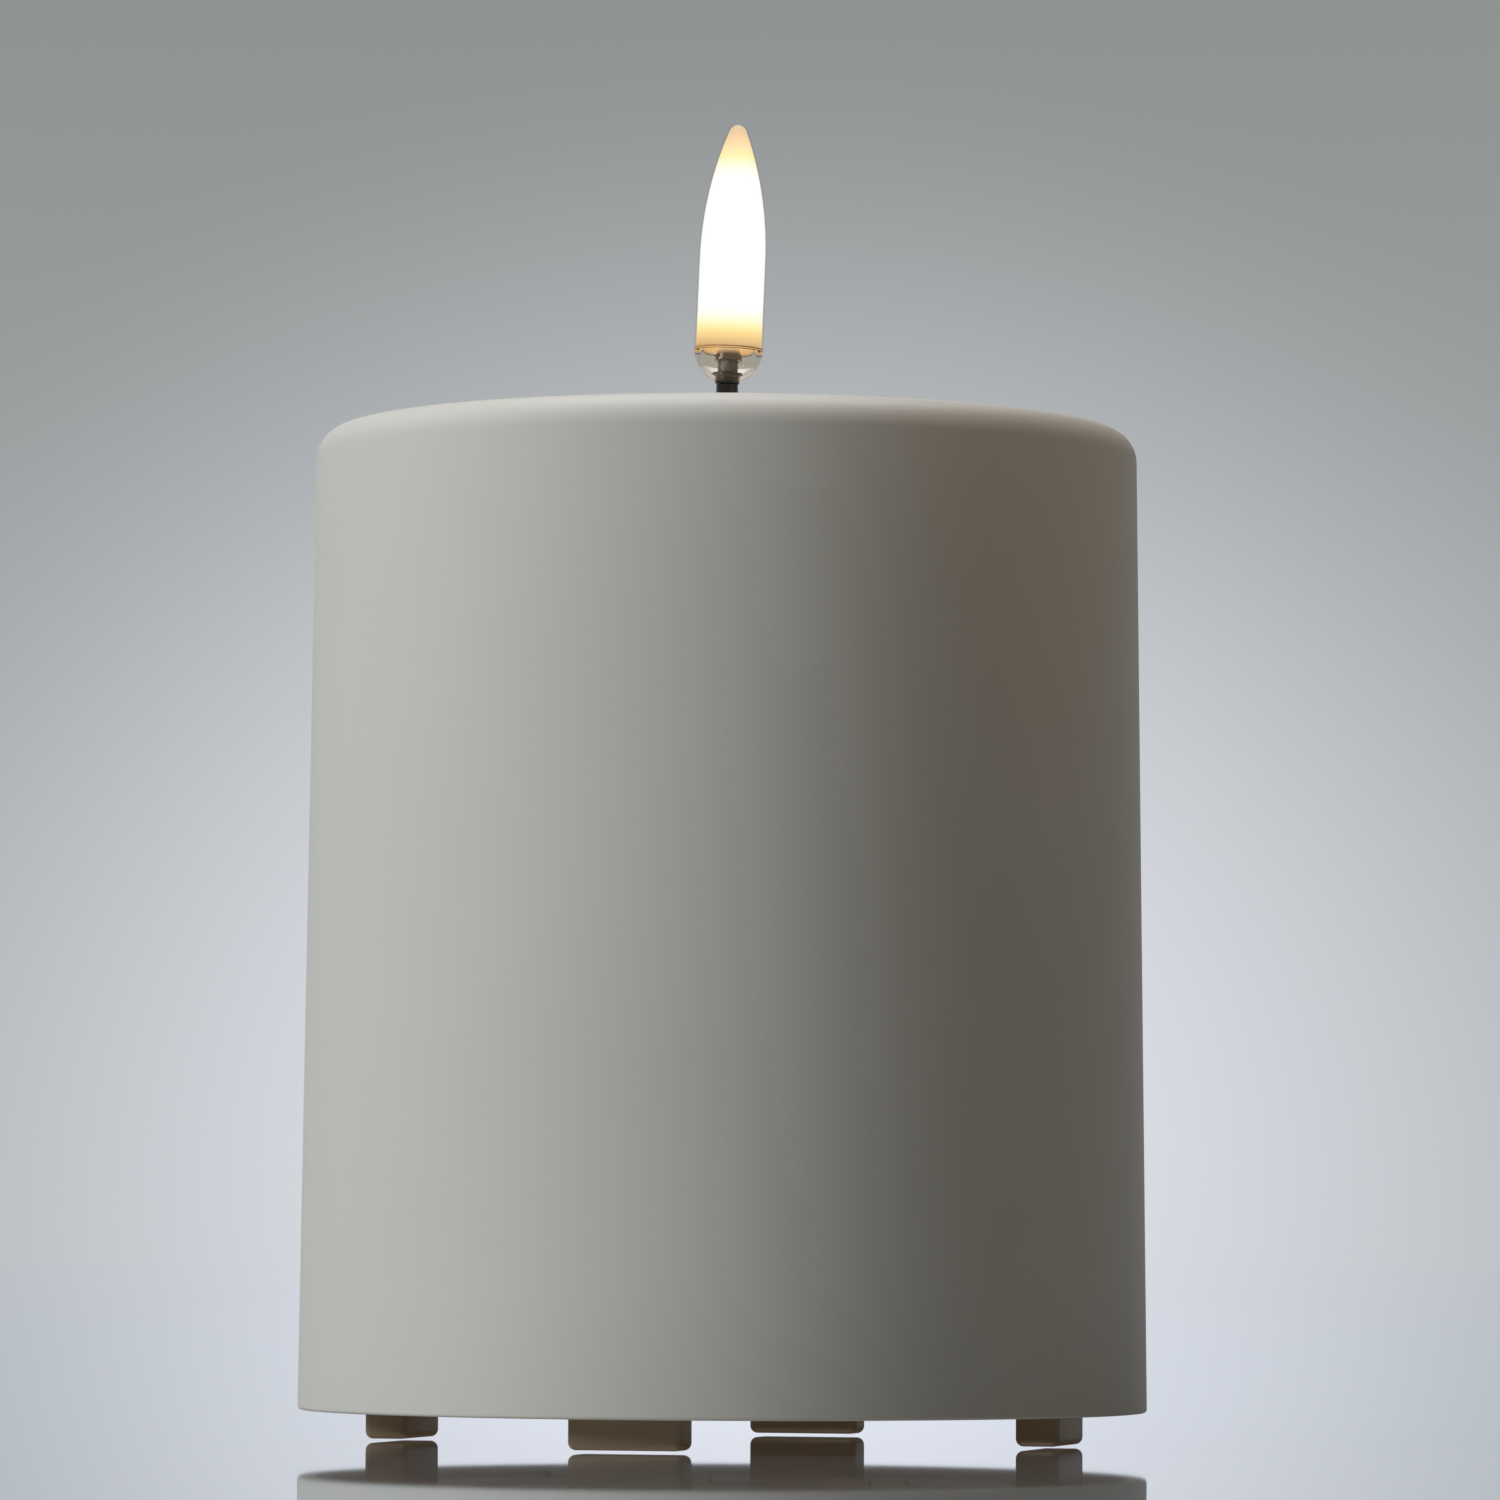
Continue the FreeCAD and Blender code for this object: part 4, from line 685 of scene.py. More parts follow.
def make_base_plate():
    plate = copy_of("base_plate", "base_plate_moulding", base_abs)
    clearing = block("foot_clearing", (FOOT_DEPTH + 2 * OVERRUN, FOOT_WIDTH + 2 * OVERRUN, PLATE_BOTTOM + MM),
                     (0, 0, (PLATE_BOTTOM - MM) / 2))
    plate = carved(plate, grown("clearings", ring_of_copies, base_abs, clearing, radius=FOOT_CIRCLE))
    plate = carved(plate, grown("feet", ring_of_copies, base_abs, make_foot(), radius=FOOT_CIRCLE), "UNION")
    plate = carved(plate, grown("collars", ring_of_copies, base_abs, make_screw_collar(), radius=SCREW_CIRCLE,
                                first_turn=SCREW_TURN), "UNION")
    # Raised marks beside the switch: a bar where it is on and a ring where it is off.
    bead, mark_radius = 0.22 * MM, 0.9 * MM
    mark_x, mark_y = SWITCH_TRAVEL / 2, -SWITCH_PLACE + 3.4 * MM
    line = [(-mark_x, mark_y + reach, PLATE_BOTTOM) for reach in (-MM, MM)]
    circle = [(mark_x + x, mark_y + y, PLATE_BOTTOM) for x, y in arc((0, 0), mark_radius, 0, 345, 23)]
    bar = wire("mark_on", line, bead, base_abs)
    ring = wire("mark_off", circle, bead, base_abs, closed=True)
    stand_for(joined("base_plate_moulding", [plate, bar, ring]), "base_plate")


make_base_plate()


# Battery door: rounded edge, grip ribs, a bead round its face, signs for the cells

def make_door():
    edge, bead_radius, rib_radius, rib_pitch, sign_arm = 0.22 * MM, 0.2 * MM, 0.3 * MM, 1.1 * MM, 1.6 * MM
    door = rounded(copy_of("battery_door", "battery_door_moulding", base_abs), edge)
    rib_end = TAB_WIDTH / 2 - MM
    rib = wire("rib", [(-rib_end, 0, 0), (rib_end, 0, 0)], rib_radius, base_abs)
    ribs = grown("grip_ribs", row_of_copies, base_abs, rib, count=6,
                 first=(0, -DOOR_RADIUS - 1.4 * MM, PLATE_BOTTOM), step=(0, rib_pitch, 0))
    bead = [(x, y, PLATE_BOTTOM) for x, y in ends_round(0, 0, POCKET_RADIUS, DOOR_RADIUS - 6 * MM, 24)]
    pieces = [door, ribs, wire("face_bead", bead, bead_radius, base_abs, closed=True)]
    # Inside, a plus under the left cell's flat end faces a minus under the right cell's button.
    sign_y, sign_level = -10 * MM, PLATE_BOTTOM + 3.0 * MM
    for side, arms in ((-1, 1), (1, 2)):
        for arm in range(arms):
            x, y = (sign_arm, 0) if arm == 0 else (0, sign_arm)
            ends = [(side * POCKET_RADIUS + sign * x, sign_y + sign * y, sign_level) for sign in (-1, 1)]
            pieces.append(wire("cell_sign", ends, rib_radius, base_abs))
    stand_for(joined("battery_door_moulding", pieces), "battery_door")


make_door()


# Switch knob: slider and knob in one, with teeth on its gripping face

def make_knob():
    low, high, middle, size = box_of("switch_knob")
    half_width, half_length = 1.3 * MM, 1.5 * MM
    teeth, tooth = 4, 0.45 * MM
    outline = [(half_length, PLATE_TOP + MM), (-half_length, PLATE_TOP + MM)]
    pitch = 2 * half_length / teeth
    for k in range(teeth):
        start = -half_length + k * pitch
        outline += [(start, low.z + tooth), (start + pitch * 0.3, low.z), (start + pitch * 0.7, low.z)]
    outline.append((half_length, low.z + tooth))
    upright = Matrix.Translation((middle.x, -SWITCH_PLACE, 0)) @ Matrix.Rotation(math.radians(90), 4, "X")
    stem = slab("stem", outline, -half_width, half_width, knob_nylon, upright)
    thickness = 1.6 * MM
    slider = block("slider", (size.x, size.y, thickness),
                   (middle.x, -SWITCH_PLACE, high.z - thickness / 2), knob_nylon)
    stand_for(rounded(carved(slider, stem, "UNION"), 0.1 * MM), "switch_knob")


make_knob()


# Screws: pan heads with a cross recess and a cut thread

def screw_blank(radius, length, head_radius, head_height):
    """A screw with its seat at zero, its head above and its shank below."""
    pitch = 0.8 * radius
    ridge = 0.26 * pitch
    core = radius - ridge
    crest = 0.55 * head_height
    bulge = (head_radius ** 2 + crest ** 2) / (2 * crest)
    dome_angle = math.degrees(math.asin(head_radius / bulge))
    profile = [(0, -length), (core, -length + 1.6 * core), (core, 0), (head_radius, 0)]
    profile += arc((0, head_height - bulge), bulge, 90 - dome_angle, 90, 8)
    body = turned("screw", profile, zinc_steel, sides=SMALL_SIDES)
    arm_size = (1.15 * head_radius, 0.24 * head_radius, 0.9 * head_height)
    for turn in (0, 90):
        arm = block("arm", arm_size, (0, 0, head_height), zinc_steel)
        arm.data.transform(Matrix.Rotation(math.radians(turn), 4, "Z"))
        body = carved(body, arm)
    turns = int((length - 1.2 * core) / pitch)
    steps = 16
    helix = []
    for k in range(turns * steps + 1):
        angle = 2 * math.pi * k / steps
        # The thread runs out into the point.
        fade = min(1.0, (k + 4) / (2 * steps))
        reach = core * fade
        helix.append((reach * math.cos(angle), reach * math.sin(angle), -length + core + pitch * k / steps))
    thread = wire("thread", helix, ridge, zinc_steel, sides=3)
    return joined("screw", [body, thread])


# Node, radius and length of the shank, radius and height of the head
SMALL_SCREWS = [
    ("housing_screws", 1.1 * MM, 6.4 * MM, 2.1 * MM, 1.4 * MM),
    ("board_screws", 1.1 * MM, 6.4 * MM, 2.1 * MM, 1.4 * MM),
    ("switch_screws", 0.8 * MM, 3.0 * MM, 1.5 * MM, 0.9 * MM),
]


def make_screws():
    base = screw_blank(1.3 * MM, 14.0 * MM, SCREW_HEAD_RADIUS, 1.9 * MM)
    seat = Matrix.Translation((0, 0, PLATE_BOTTOM + SCREW_SINK))
    base.data.transform(seat @ Matrix.Rotation(math.pi, 4, "X"))
    stand_for(grown("base_screws_threaded", ring_of_copies, zinc_steel, base, radius=SCREW_CIRCLE,
                    first_turn=SCREW_TURN), "base_screws")
    for node, radius, length, head, height in SMALL_SCREWS:
        _, high, middle, size = box_of(node)
        small = screw_blank(radius, length, head, height)
        small.data.transform(Matrix.Translation((0, middle.y, high.z - height)))
        long, wide = size.x - 2 * head, size.y - 2 * head
        if wide > head:
            piece = grown(f"{node}_threaded", four_corners, zinc_steel, small, length=long, width=wide)
        else:
            piece = grown(f"{node}_threaded", row_of_copies, zinc_steel, small, count=2,
                          first=(-long / 2, 0, 0), step=(long, 0, 0))
        stand_for(piece, node)


make_screws()


# Springs and contacts

def make_spring(node, side, foot_level, upward):
    """A conical spring: one closed turn at its foot, then a rising and narrowing coil."""
    foot, tip, rise = 5.4 * MM, 3.04 * MM, 2.2 * MM
    wire_radius = 0.4 * MM
    turns, steps = 2.5, 32
    points = []
    for k in range(-steps * 3 // 4, int(turns * steps) + steps // 2):
        angle = 2 * math.pi * k / steps
        share = min(max(k / (turns * steps), 0.0), 1.0)
        reach = foot + (tip - foot) * share
        height = wire_radius + rise * share
        points.append((side * POCKET_RADIUS + reach * math.cos(angle), reach * math.sin(angle),
                       foot_level + (height if upward else -height)))
    stand_for(wire(f"{node}_coil", points, wire_radius, nickel_wire), node)


make_spring("upper_spring", 1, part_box("upper_spring")[1].z, upward=False)
make_spring("door_spring", -1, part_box("door_spring")[0].z, upward=True)


def stamped_strip(node):
    """A stamped contact with softened edges."""
    return rounded(copy_of(node, f"{node}_strip", nickel_strip), 0.08 * MM)


def make_bridge_contact():
    """The contact on the door has three round pressed dimples."""
    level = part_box("bridge_contact")[0].z + 0.4 * MM
    foot, apart = -0.1 * MM, 6 * MM
    profile = [(0, foot), (1.1 * MM, foot)] + arc((0, -0.9 * MM), 1.25 * MM, 40, 90, 6)
    pieces = [stamped_strip("bridge_contact")]
    for x in (-apart, 0, apart):
        pieces.append(turned("dimple", profile, nickel_strip, SMALL_SIDES, Matrix.Translation((x, 0, level))))
    stand_for(joined("bridge_contact_strip", pieces), "bridge_contact")


make_bridge_contact()
for node in ("positive_contact", "negative_contact"):
    stand_for(stamped_strip(node), node)


# Battery cells: steel ends in a wrapped film with a paler band by the button

def make_cell(node, nub_up):
    low, high, middle, size = box_of(node)
    length, radius = size.z, size.x / 2
    lip, wall = radius - 1.5 * MM, radius - 0.6 * MM
    curl = 0.8 * MM
    band = length - 12 * MM
    shoulder = length - 1.5 * MM
    film = [(lip, 0.5 * MM)] + arc((radius - curl, curl), curl, -90, 0, 6)
    film += [(radius, band), (wall, band), (wall, 0.9 * MM), (lip, 0.9 * MM)]
    top = [(wall, band), (radius, band)] + arc((radius - curl, shoulder - curl), curl, 0, 90, 6)
    top += [(lip, shoulder - 0.4 * MM), (lip, shoulder - 0.8 * MM), (wall, shoulder - 0.8 * MM)]
    nub, edge = 4.75 * MM, 0.6 * MM
    cover = shoulder - 0.3 * MM
    can = [(0, 0.2 * MM), (9 * MM, 0.2 * MM), (9.6 * MM, 0), (13.4 * MM, 0), (14 * MM, 0.4 * MM)]
    can += [(radius - 1.0 * MM, 0.7 * MM), (radius - 0.7 * MM, 1.2 * MM), (radius - 0.7 * MM, shoulder - MM)]
    can += [(radius - 1.4 * MM, shoulder - 0.6 * MM), (12 * MM, shoulder - 0.7 * MM), (11.4 * MM, cover)]
    can += arc((nub + edge, cover + edge), edge, -90, -180, 4)
    can += arc((nub - edge, length - edge), edge, 0, 90, 5) + [(0, length)]
    place = Matrix.Translation((middle.x, 0, low.z if nub_up else high.z))
    if not nub_up:
        place = place @ Matrix.Rotation(math.pi, 4, "X")
    pieces = [turned(name, profile, material, place=place) for name, profile, material in (
        ("film", film, cell_film), ("band", top, cell_band), ("can", can, can_steel))]
    stand_for(joined(f"{node}_wrapped", pieces), node)


make_cell("battery_cell_left", True)
make_cell("battery_cell_right", False)


# Driver board and its parts

def make_chip():
    """Black moulded chip with a first-pin dimple and gull-wing legs."""
    low, high, middle, size = box_of("driver_chip")
    length, width, height = 5.0 * MM, 4.0 * MM, size.z - 0.15 * MM
    centre = (middle.x, middle.y, high.z - height / 2)
    body = rounded(block("chip", (length, width, height), centre, chip_epoxy), 0.14 * MM)
    sink, dot = 0.1 * MM, 0.35 * MM
    dimple = turned("dimple", [(0, -sink), (dot, -sink), (dot, sink), (0, sink)],
                    place=Matrix.Translation((low.x + 0.9 * MM, middle.y - 1.2 * MM, high.z)))
    body = carved(body, dimple)
    edge, knee = width / 2, 0.45 * MM
    side = [(edge - knee, 0.75 * MM), (edge + knee, 0.75 * MM), (edge + knee + 0.1 * MM, 0.1 * MM),
            (edge + 0.95 * MM, 0.09 * MM)]
    legs = []
    for sign in (-1, 1):
        path = [(low.x + 0.6 * MM, middle.y + sign * reach, low.z + level) for reach, level in side]
        leg = wire("leg", path, 0.18 * MM, solder, sides=8)
        legs.append(grown("legs", row_of_copies, solder, leg, count=4, first=(0, 0, 0),
                          step=(1.27 * MM, 0, 0)))
    stand_for(joined("driver_chip_legged", [body] + legs), "driver_chip")


def make_capacitor():
    """Sleeved can: a crimp groove low down, and a bare aluminium top with a cross vent."""
    low, _, middle, size = box_of("timer_capacitor")
    radius, height = size.x / 2, size.z
    place = Matrix.Translation((middle.x, middle.y, low.z))
    edge = 0.3 * MM
    lid_radius = radius - 0.6 * MM
    sleeve_top, lid_low, lid_top = height - 0.06 * MM, height - 0.2 * MM, height - 0.02 * MM
    sleeve = [(0, 0), (radius - edge, 0)] + arc((radius - edge, edge), edge, -90, 0, 3)
    sleeve += [(radius, 0.9 * MM), (radius - 0.25 * MM, 1.2 * MM), (radius, 1.5 * MM)]
    sleeve += arc((radius - edge, height - edge), edge, 0, 90, 4)
    sleeve += [(lid_radius, sleeve_top), (0, sleeve_top)]
    body = turned("can", sleeve, sleeve_pvc, place=place)
    disc = [(0, lid_low), (lid_radius, lid_low), (lid_radius, lid_top), (0, lid_top)]
    lid = turned("lid", disc, can_steel, place=place)
    groove = 0.16 * MM
    for turn in (0, 90):
        vent = block("vent", (radius, groove, groove), (0, 0, height), can_steel)
        vent.data.transform(place @ Matrix.Rotation(math.radians(turn), 4, "Z"))
        lid = carved(lid, vent)
    stand_for(joined("timer_capacitor_sleeved", [body, lid]), "timer_capacitor")


def make_crystal():
    """Low metal can with round ends on a rim."""
    low, high, middle, size = box_of("timing_crystal")
    radius = size.y / 2
    apart = size.x / 2 - radius
    set_in = 0.2 * MM
    foot, body = (ends_round(middle.x, middle.y, apart, reach, 10) for reach in (radius, radius - set_in))
    rim = slab("rim", foot, low.z, low.z + 0.35 * MM, can_steel)
    can = rounded(slab("can", body, low.z + 0.3 * MM, high.z, can_steel), set_in, 3)
    stand_for(joined("timing_crystal_can", [rim, can]), "timing_crystal")


# Place along a resistor as a share of its length, and the ring's colour
RING_SHARES = [(0.18, "#6a3b1e"), (0.4, "#1c1c1c"), (0.52, "#a8641c"), (0.82, "#a88a3c")]


def make_resistors():
    """Three small resistors that lie on the board, with coloured rings and bent legs."""
    low, high, _, size = box_of("board_resistors")
    radius, length = size.z / 2, size.y
    waist, cap, edge, fall = 0.8 * radius, 1.1 * MM, 0.3 * MM, 0.4 * MM
    profile = [(0, 0)] + arc((radius - edge, edge), edge, -90, 0, 3)
    profile += [(radius, cap), (waist, cap + fall), (waist, length - cap - fall), (radius, length - cap)]
    profile += arc((radius - edge, length - edge), edge, 0, 90, 3) + [(0, length)]
    x, axis = low.x + radius, low.z + radius
    lying = Matrix.Translation((x, low.y, axis)) @ Matrix.Rotation(math.radians(-90), 4, "X")
    pieces = [turned("resistor", profile, resistor_lacquer, SMALL_SIDES, lying)]
    for share, code in RING_SHARES:
        inside = waist - 0.1 * MM
        reach = (waist if 0.3 < share < 0.7 else radius) + 0.02 * MM
        start = share * length
        end = start + 0.4 * MM
        lacquer = ring_lacquer(f"lacquer_ring_{code[1:]}", code)
        ring = [(inside, start), (reach, start), (reach, end), (inside, end)]
        pieces.append(turned("ring", ring, lacquer, SMALL_SIDES, lying))
    bend, out_to, pitch = 0.6 * MM, 0.9 * MM, 3.0 * MM
    for end, out in ((low.y, -1), (high.y, 1)):
        leg = [(x, end, axis), (x, end + out * bend, axis), (x, end + out * out_to, low.z + 0.7 * radius),
               (x, end + out * out_to, low.z)]
        pieces.append(wire("leg", leg, 0.2 * MM, solder))
    blank = joined("resistor", pieces)
    copies = []
    for step in range(3):
        data = blank.data.copy()
        data.transform(Matrix.Translation((step * pitch, 0, 0)))
        copies.append(linked("resistor", data))
    bpy.data.objects.remove(blank)
    stand_for(joined("board_resistors_ringed", copies), "board_resistors")


def make_connector():
    """Open shroud with a key slot in its front wall and two pins."""
    low, high, middle, _ = box_of("lead_connector")
    shroud = rounded(copy_of("lead_connector", "lead_connector_shroud", plug_nylon), 0.12 * MM)
    slot = block("slot", (1.6 * MM, 2 * MM, 3 * MM), (middle.x, low.y, high.z), plug_nylon)
    shroud = carved(shroud, slot)
    side, apart = 0.5 * MM, 4.4 * MM
    pin = rounded(block("pin", (side, side, 4 * MM), (0, 0, 0), nickel_strip), 0.08 * MM)
    pins = grown("pins", row_of_copies, nickel_strip, pin, count=2, step=(apart, 0, 0),
                 first=(middle.x - apart / 2, middle.y + 1.1 * MM, low.z + 2.4 * MM))
    stand_for(joined("lead_connector_shroud", [shroud, pins]), "lead_connector")


make_chip()
make_capacitor()
make_crystal()
make_resistors()
make_connector()


# What else the candle holds keeps its CAD shape, with its triangles joined and its edges softened

SOFTENED = [
    ("base_seal", silicone, 0.2 * MM),
    ("door_seal", silicone, 0.15 * MM),
    ("battery_housing", black_abs, 0.15 * MM),
    ("hinge_pins", drawn_pin, 0.12 * MM),
    ("switch_case", tinned_sheet, 0.12 * MM),
    ("switch_pins", nickel_strip, 0.05 * MM),
    ("driver_board", varnished_board, 0.04 * MM),
    ("battery_leads", insulation_red, 0.0),
    ("switch_leads", insulation_black, 0.0),
    ("flame_leads", insulation_black, 0.0),
    ("wick_retainer", black_abs, 0.2 * MM),
]
for node, material, edge in SOFTENED:
    piece = copy_of(node, f"{node}_finished", material)
    stand_for(rounded(piece, edge) if edge else piece, node)


# Wick and flame, which leans a little about the end of the wick

heading = math.radians(FLAME_HEADING)
lean_axis = Vector((-math.sin(heading), math.cos(heading), 0))
lean = Matrix.Rotation(math.radians(FLAME_LEAN), 4, lean_axis)
flame_place = Matrix.Translation((0, 0, PIVOT_HEIGHT)) @ lean

# Height share along the flame, and the colour of the light there
FLAME_SHARES = [
    (0.130, "#c9a06f"), (0.150, "#e0bb85"), (0.172, "#f3cf8d"), (0.192, "#ffe29a"), (0.213, "#fff3b4"),
    (0.235, "#fffbd8"), (0.262, "#fffff2"), (0.300, "#ffffff"), (0.770, "#ffffff"), (0.800, "#fffef4"),
    (0.833, "#fffbdc"), (0.868, "#fff3b4"), (0.905, "#ffe3ae"), (0.945, "#f3d2a4"), (1.000, "#dcc2a0"),
]


def flame_material(name):
    """Frosted acrylic lit from inside. The lamp saturates the middle; the light that
    reaches the tip and the foot is weaker and warmer."""
    made, tree = bare_material(name)
    where = add(tree, "ShaderNodeTexCoord").outputs["Object"]
    along = add(tree, "ShaderNodeMapping", {"Vector": where, "Location": (0, 0, PIVOT_HEIGHT),
                                            "Rotation": flame_place.to_euler()}, vector_type="TEXTURE")
    height = add(tree, "ShaderNodeSeparateXYZ", {"Vector": along}).outputs["Z"]
    share = add(tree, "ShaderNodeMapRange", {"Value": height, "From Max": FLAME_TIP})
    colours = add(tree, "ShaderNodeValToRGB", {"Fac": share})
    stops = colours.color_ramp.elements
    for stop, (position, code) in zip(stops, (FLAME_SHARES[0], FLAME_SHARES[-1])):
        stop.position, stop.color = position, linear(code)
    for position, code in FLAME_SHARES[1:-1]:
        stops.new(position).color = linear(code)
    glow = add(tree, "ShaderNodeEmission", {"Color": colours, "Strength": 1.07})
    add(tree, "ShaderNodeOutputMaterial", {"Surface": glow})
    return made


def skin_material(name):
    """Frosted acrylic skin: clear enough to let the lit core through, with a satin gloss that
    grows towards the outline."""
    made, tree = bare_material(name)
    satin = add(tree, "ShaderNodeMapRange", {"Value": pattern(tree, 0.6 * MM), "To Min": 0.25, "To Max": 0.4})
    gloss = add(tree, "ShaderNodeBsdfGlossy", {"Color": linear("#d9cfb8"), "Roughness": satin})
    clear = add(tree, "ShaderNodeBsdfTransparent", {"Color": linear("#ffffff")})
    edge = add(tree, "ShaderNodeLayerWeight", {"Blend": 0.06}).outputs["Facing"]
    mixed = add(tree, "ShaderNodeMixShader", {0: edge, 1: clear, 2: gloss})
    add(tree, "ShaderNodeOutputMaterial", {"Surface": mixed})
    return made


def clear_material(name):
    """Clear moulded polycarbonate: polished, faintly warm. Its thin wall hardly bends what is seen through
    it. A faint warm glow is painted into it, as painted light for the light of the sleeve that a fine haze
    spreads."""
    # The emission is a painted glow from the sleeve's light, not a lamp of its own.
    made, tree = new_material(name, base_color=linear("#fffaf2"), ior=1.12, transmission_weight=1.0,
                              emission_color=linear("#ffdcae"), emission_strength=0.011)
    vary(tree, "Roughness", pattern(tree, 1.5 * MM), 0.03, 0.09)
    return made


def lamp_material(name):
    """Clear epoxy lens of a warm lamp: brown and dull at its flange, bright in its dome."""
    made, tree = new_material(name, base_color=linear("#443c33"), ior=1.54, emission_color=linear("#ffd9a0"))
    where = add(tree, "ShaderNodeTexCoord").outputs["Object"]
    level = add(tree, "ShaderNodeSeparateXYZ", {"Vector": where}).outputs["Z"]
    shoulder = PIVOT_HEIGHT + LED_SHOULDER
    glow = add(tree, "ShaderNodeMapRange", {
        "Value": level, "From Min": shoulder - 0.1 * MM, "From Max": shoulder + MM,
        "To Min": 0.02, "To Max": 0.9}, interpolation_type="SMOOTHSTEP")
    feed(tree.nodes["Principled BSDF"].inputs["Emission Strength"], glow)
    vary(tree, "Roughness", pattern(tree, 0.5 * MM), 0.15, 0.3)
    return made


flame_glow = flame_material("frosted_acrylic_lit")
flame_skin = skin_material("frosted_acrylic_skin")
cup_clear = clear_material("polycarbonate_clear_polished")
lamp_resin = lamp_material("epoxy_warm_lamp_lens")


def lit_where(piece, test):
    """Give the lit acrylic to the faces whose middle and normal, in the flame's own upright
    frame, pass a test."""
    back = flame_place.inverted()
    piece.data.materials.append(flame_glow)
    for face in piece.data.polygons:
        if test(back @ face.center, back.to_3x3() @ face.normal):
            face.material_index = 1
    return piece


def sleeve_profile(inset):
    """The pointed outline from its foot to its tip, set in by a wall."""
    rise = FLAME_LENGTH - NOSE_RADIUS - FLAME_STRAIGHT
    ogive = (FLAME_RADIUS ** 2 + rise ** 2 - NOSE_RADIUS ** 2) / (2 * (FLAME_RADIUS - NOSE_RADIUS))
    turn_angle = math.degrees(math.asin(rise / (ogive - NOSE_RADIUS)))
    skirt_top = FLAME_RADIUS + FLAME_STRAIGHT
    foot = FLAME_RADIUS + 0.03 * MM
    points = [(FLAME_RADIUS - inset, foot + (skirt_top - foot) * k / 12) for k in range(12)]
    points += arc((FLAME_RADIUS - ogive, skirt_top), ogive - inset, 0, turn_angle, 24)
    points += arc((0, FLAME_TIP - NOSE_RADIUS), NOSE_RADIUS - inset, turn_angle, 90, 10)[1:]
    return points


def make_sleeve():
    """The skin of the flame. Its inner face is the lit core."""
    outline = sleeve_profile(0) + sleeve_profile(SLEEVE_SKIN)[::-1]
    sleeve = turned("flame_sleeve_frosted", outline, flame_skin, place=flame_place)
    limit = FLAME_RADIUS - SLEEVE_SKIN / 2
    return lit_where(sleeve, lambda middle, outward: outward.x * middle.x + outward.y * middle.y < 0
                     or (outward.z < -0.5 and middle.z > limit * 2))


def make_joint_lines():
    """Two fine lines of glue where the sleeve sits on the cup."""
    lines = []
    for level, half in ((0.06 * MM, 0.07 * MM), (-0.18 * MM, 0.05 * MM)):
        middle = FLAME_RADIUS + level
        reach = math.sqrt(FLAME_RADIUS ** 2 - level ** 2)
        inside, outside = reach - 0.1 * MM, reach - 0.02 * MM
        ring = [(inside, middle - half), (outside, middle - half), (reach + 0.02 * MM, middle),
                (outside, middle + half), (inside, middle + half)]
        lines.append(turned("glue_line", ring, amber, place=flame_place))
    return lines


def make_cup():
    """Half a ball with a spigot inside its rim. The ledge under the sleeve is given the sleeve's glow, as
    painted light for the light that falls on it."""
    mouth = COLLAR_NECK_RADIUS + FLAME_SEAT_GAP
    outer_angle = -math.degrees(math.acos(mouth / FLAME_RADIUS))
    inner_angle = -math.degrees(math.acos(mouth / CUP_INNER))
    step_radius = SPIGOT_RADIUS - SPIGOT_WALL
    step_angle = -math.degrees(math.acos(step_radius / CUP_INNER))
    spigot_top = FLAME_RADIUS + SPIGOT_HEIGHT
    profile = arc((0, FLAME_RADIUS), FLAME_RADIUS, outer_angle, 0, 20)
    profile += [(SPIGOT_RADIUS, FLAME_RADIUS), (SPIGOT_RADIUS, spigot_top), (step_radius, spigot_top)]
    profile += arc((0, FLAME_RADIUS), CUP_INNER, step_angle, inner_angle, 16)
    cup = turned("flame_cup_clear", profile, cup_clear, place=flame_place)
    # The ledge's faces glow with the lit acrylic: painted light from the sleeve above.
    return lit_where(cup, lambda middle, outward: abs(middle.z - FLAME_RADIUS) < TOUCHING)


def make_wick():
    edge = 0.12 * MM
    profile = [(WICK_BORE_RADIUS, wick_low.z), (WICK_RADIUS, wick_low.z)]
    profile += arc((WICK_RADIUS - edge, wick_high.z - edge), edge, 0, 90, 4)
    profile += [(WICK_BORE_RADIUS, wick_high.z)]
    return turned("wick_tube_black", profile, wick_pvc)


def make_flame_foot():
    """The collar, the stem and the lamp that stand inside the cup."""
    edge = 0.1 * MM
    collar = [(WICK_BORE_RADIUS, 0), (COLLAR_NECK_RADIUS, 0), (COLLAR_NECK_RADIUS, COLLAR_SEAT),
              (COLLAR_RADIUS, COLLAR_RIM)]
    collar += arc((COLLAR_RADIUS - edge, COLLAR_TOP - edge), edge, 0, 90, 4)
    collar += [(WICK_BORE_RADIUS, COLLAR_TOP)]
    stem = [(WICK_BORE_RADIUS, COLLAR_TOP), (STEM_RADIUS, COLLAR_TOP), (STEM_RADIUS, STEM_TOP),
            (WICK_BORE_RADIUS, STEM_TOP)]
    lamp = [(0, STEM_TOP), (LED_FLANGE_RADIUS, STEM_TOP), (LED_FLANGE_RADIUS, LED_SHOULDER),
            (LED_RADIUS, LED_SHOULDER)]
    lamp += arc((0, LED_SHOULDER + LED_STRAIGHT), LED_RADIUS, 0, 90, 12)
    for name, profile, material, node in (
            ("wick_collar_black", collar, wick_pvc, "wick_collar"),
            ("led_stem_grey", stem, stem_abs, "led_stem"),
            ("flame_led_lamp", lamp, lamp_resin, "flame_led")):
        stand_for(turned(name, profile, material, place=flame_place), node)


stand_for(joined("flame_sleeve_frosted", [make_sleeve()] + make_joint_lines()), "flame_sleeve")
stand_for(make_cup(), "flame_cup")
stand_for(make_wick(), "wick_tube")
make_flame_foot()


# Camera at the photograph's viewing angle. Its place is measured from the middle of the rim,
# and its yaw, pitch and roll are in radians.

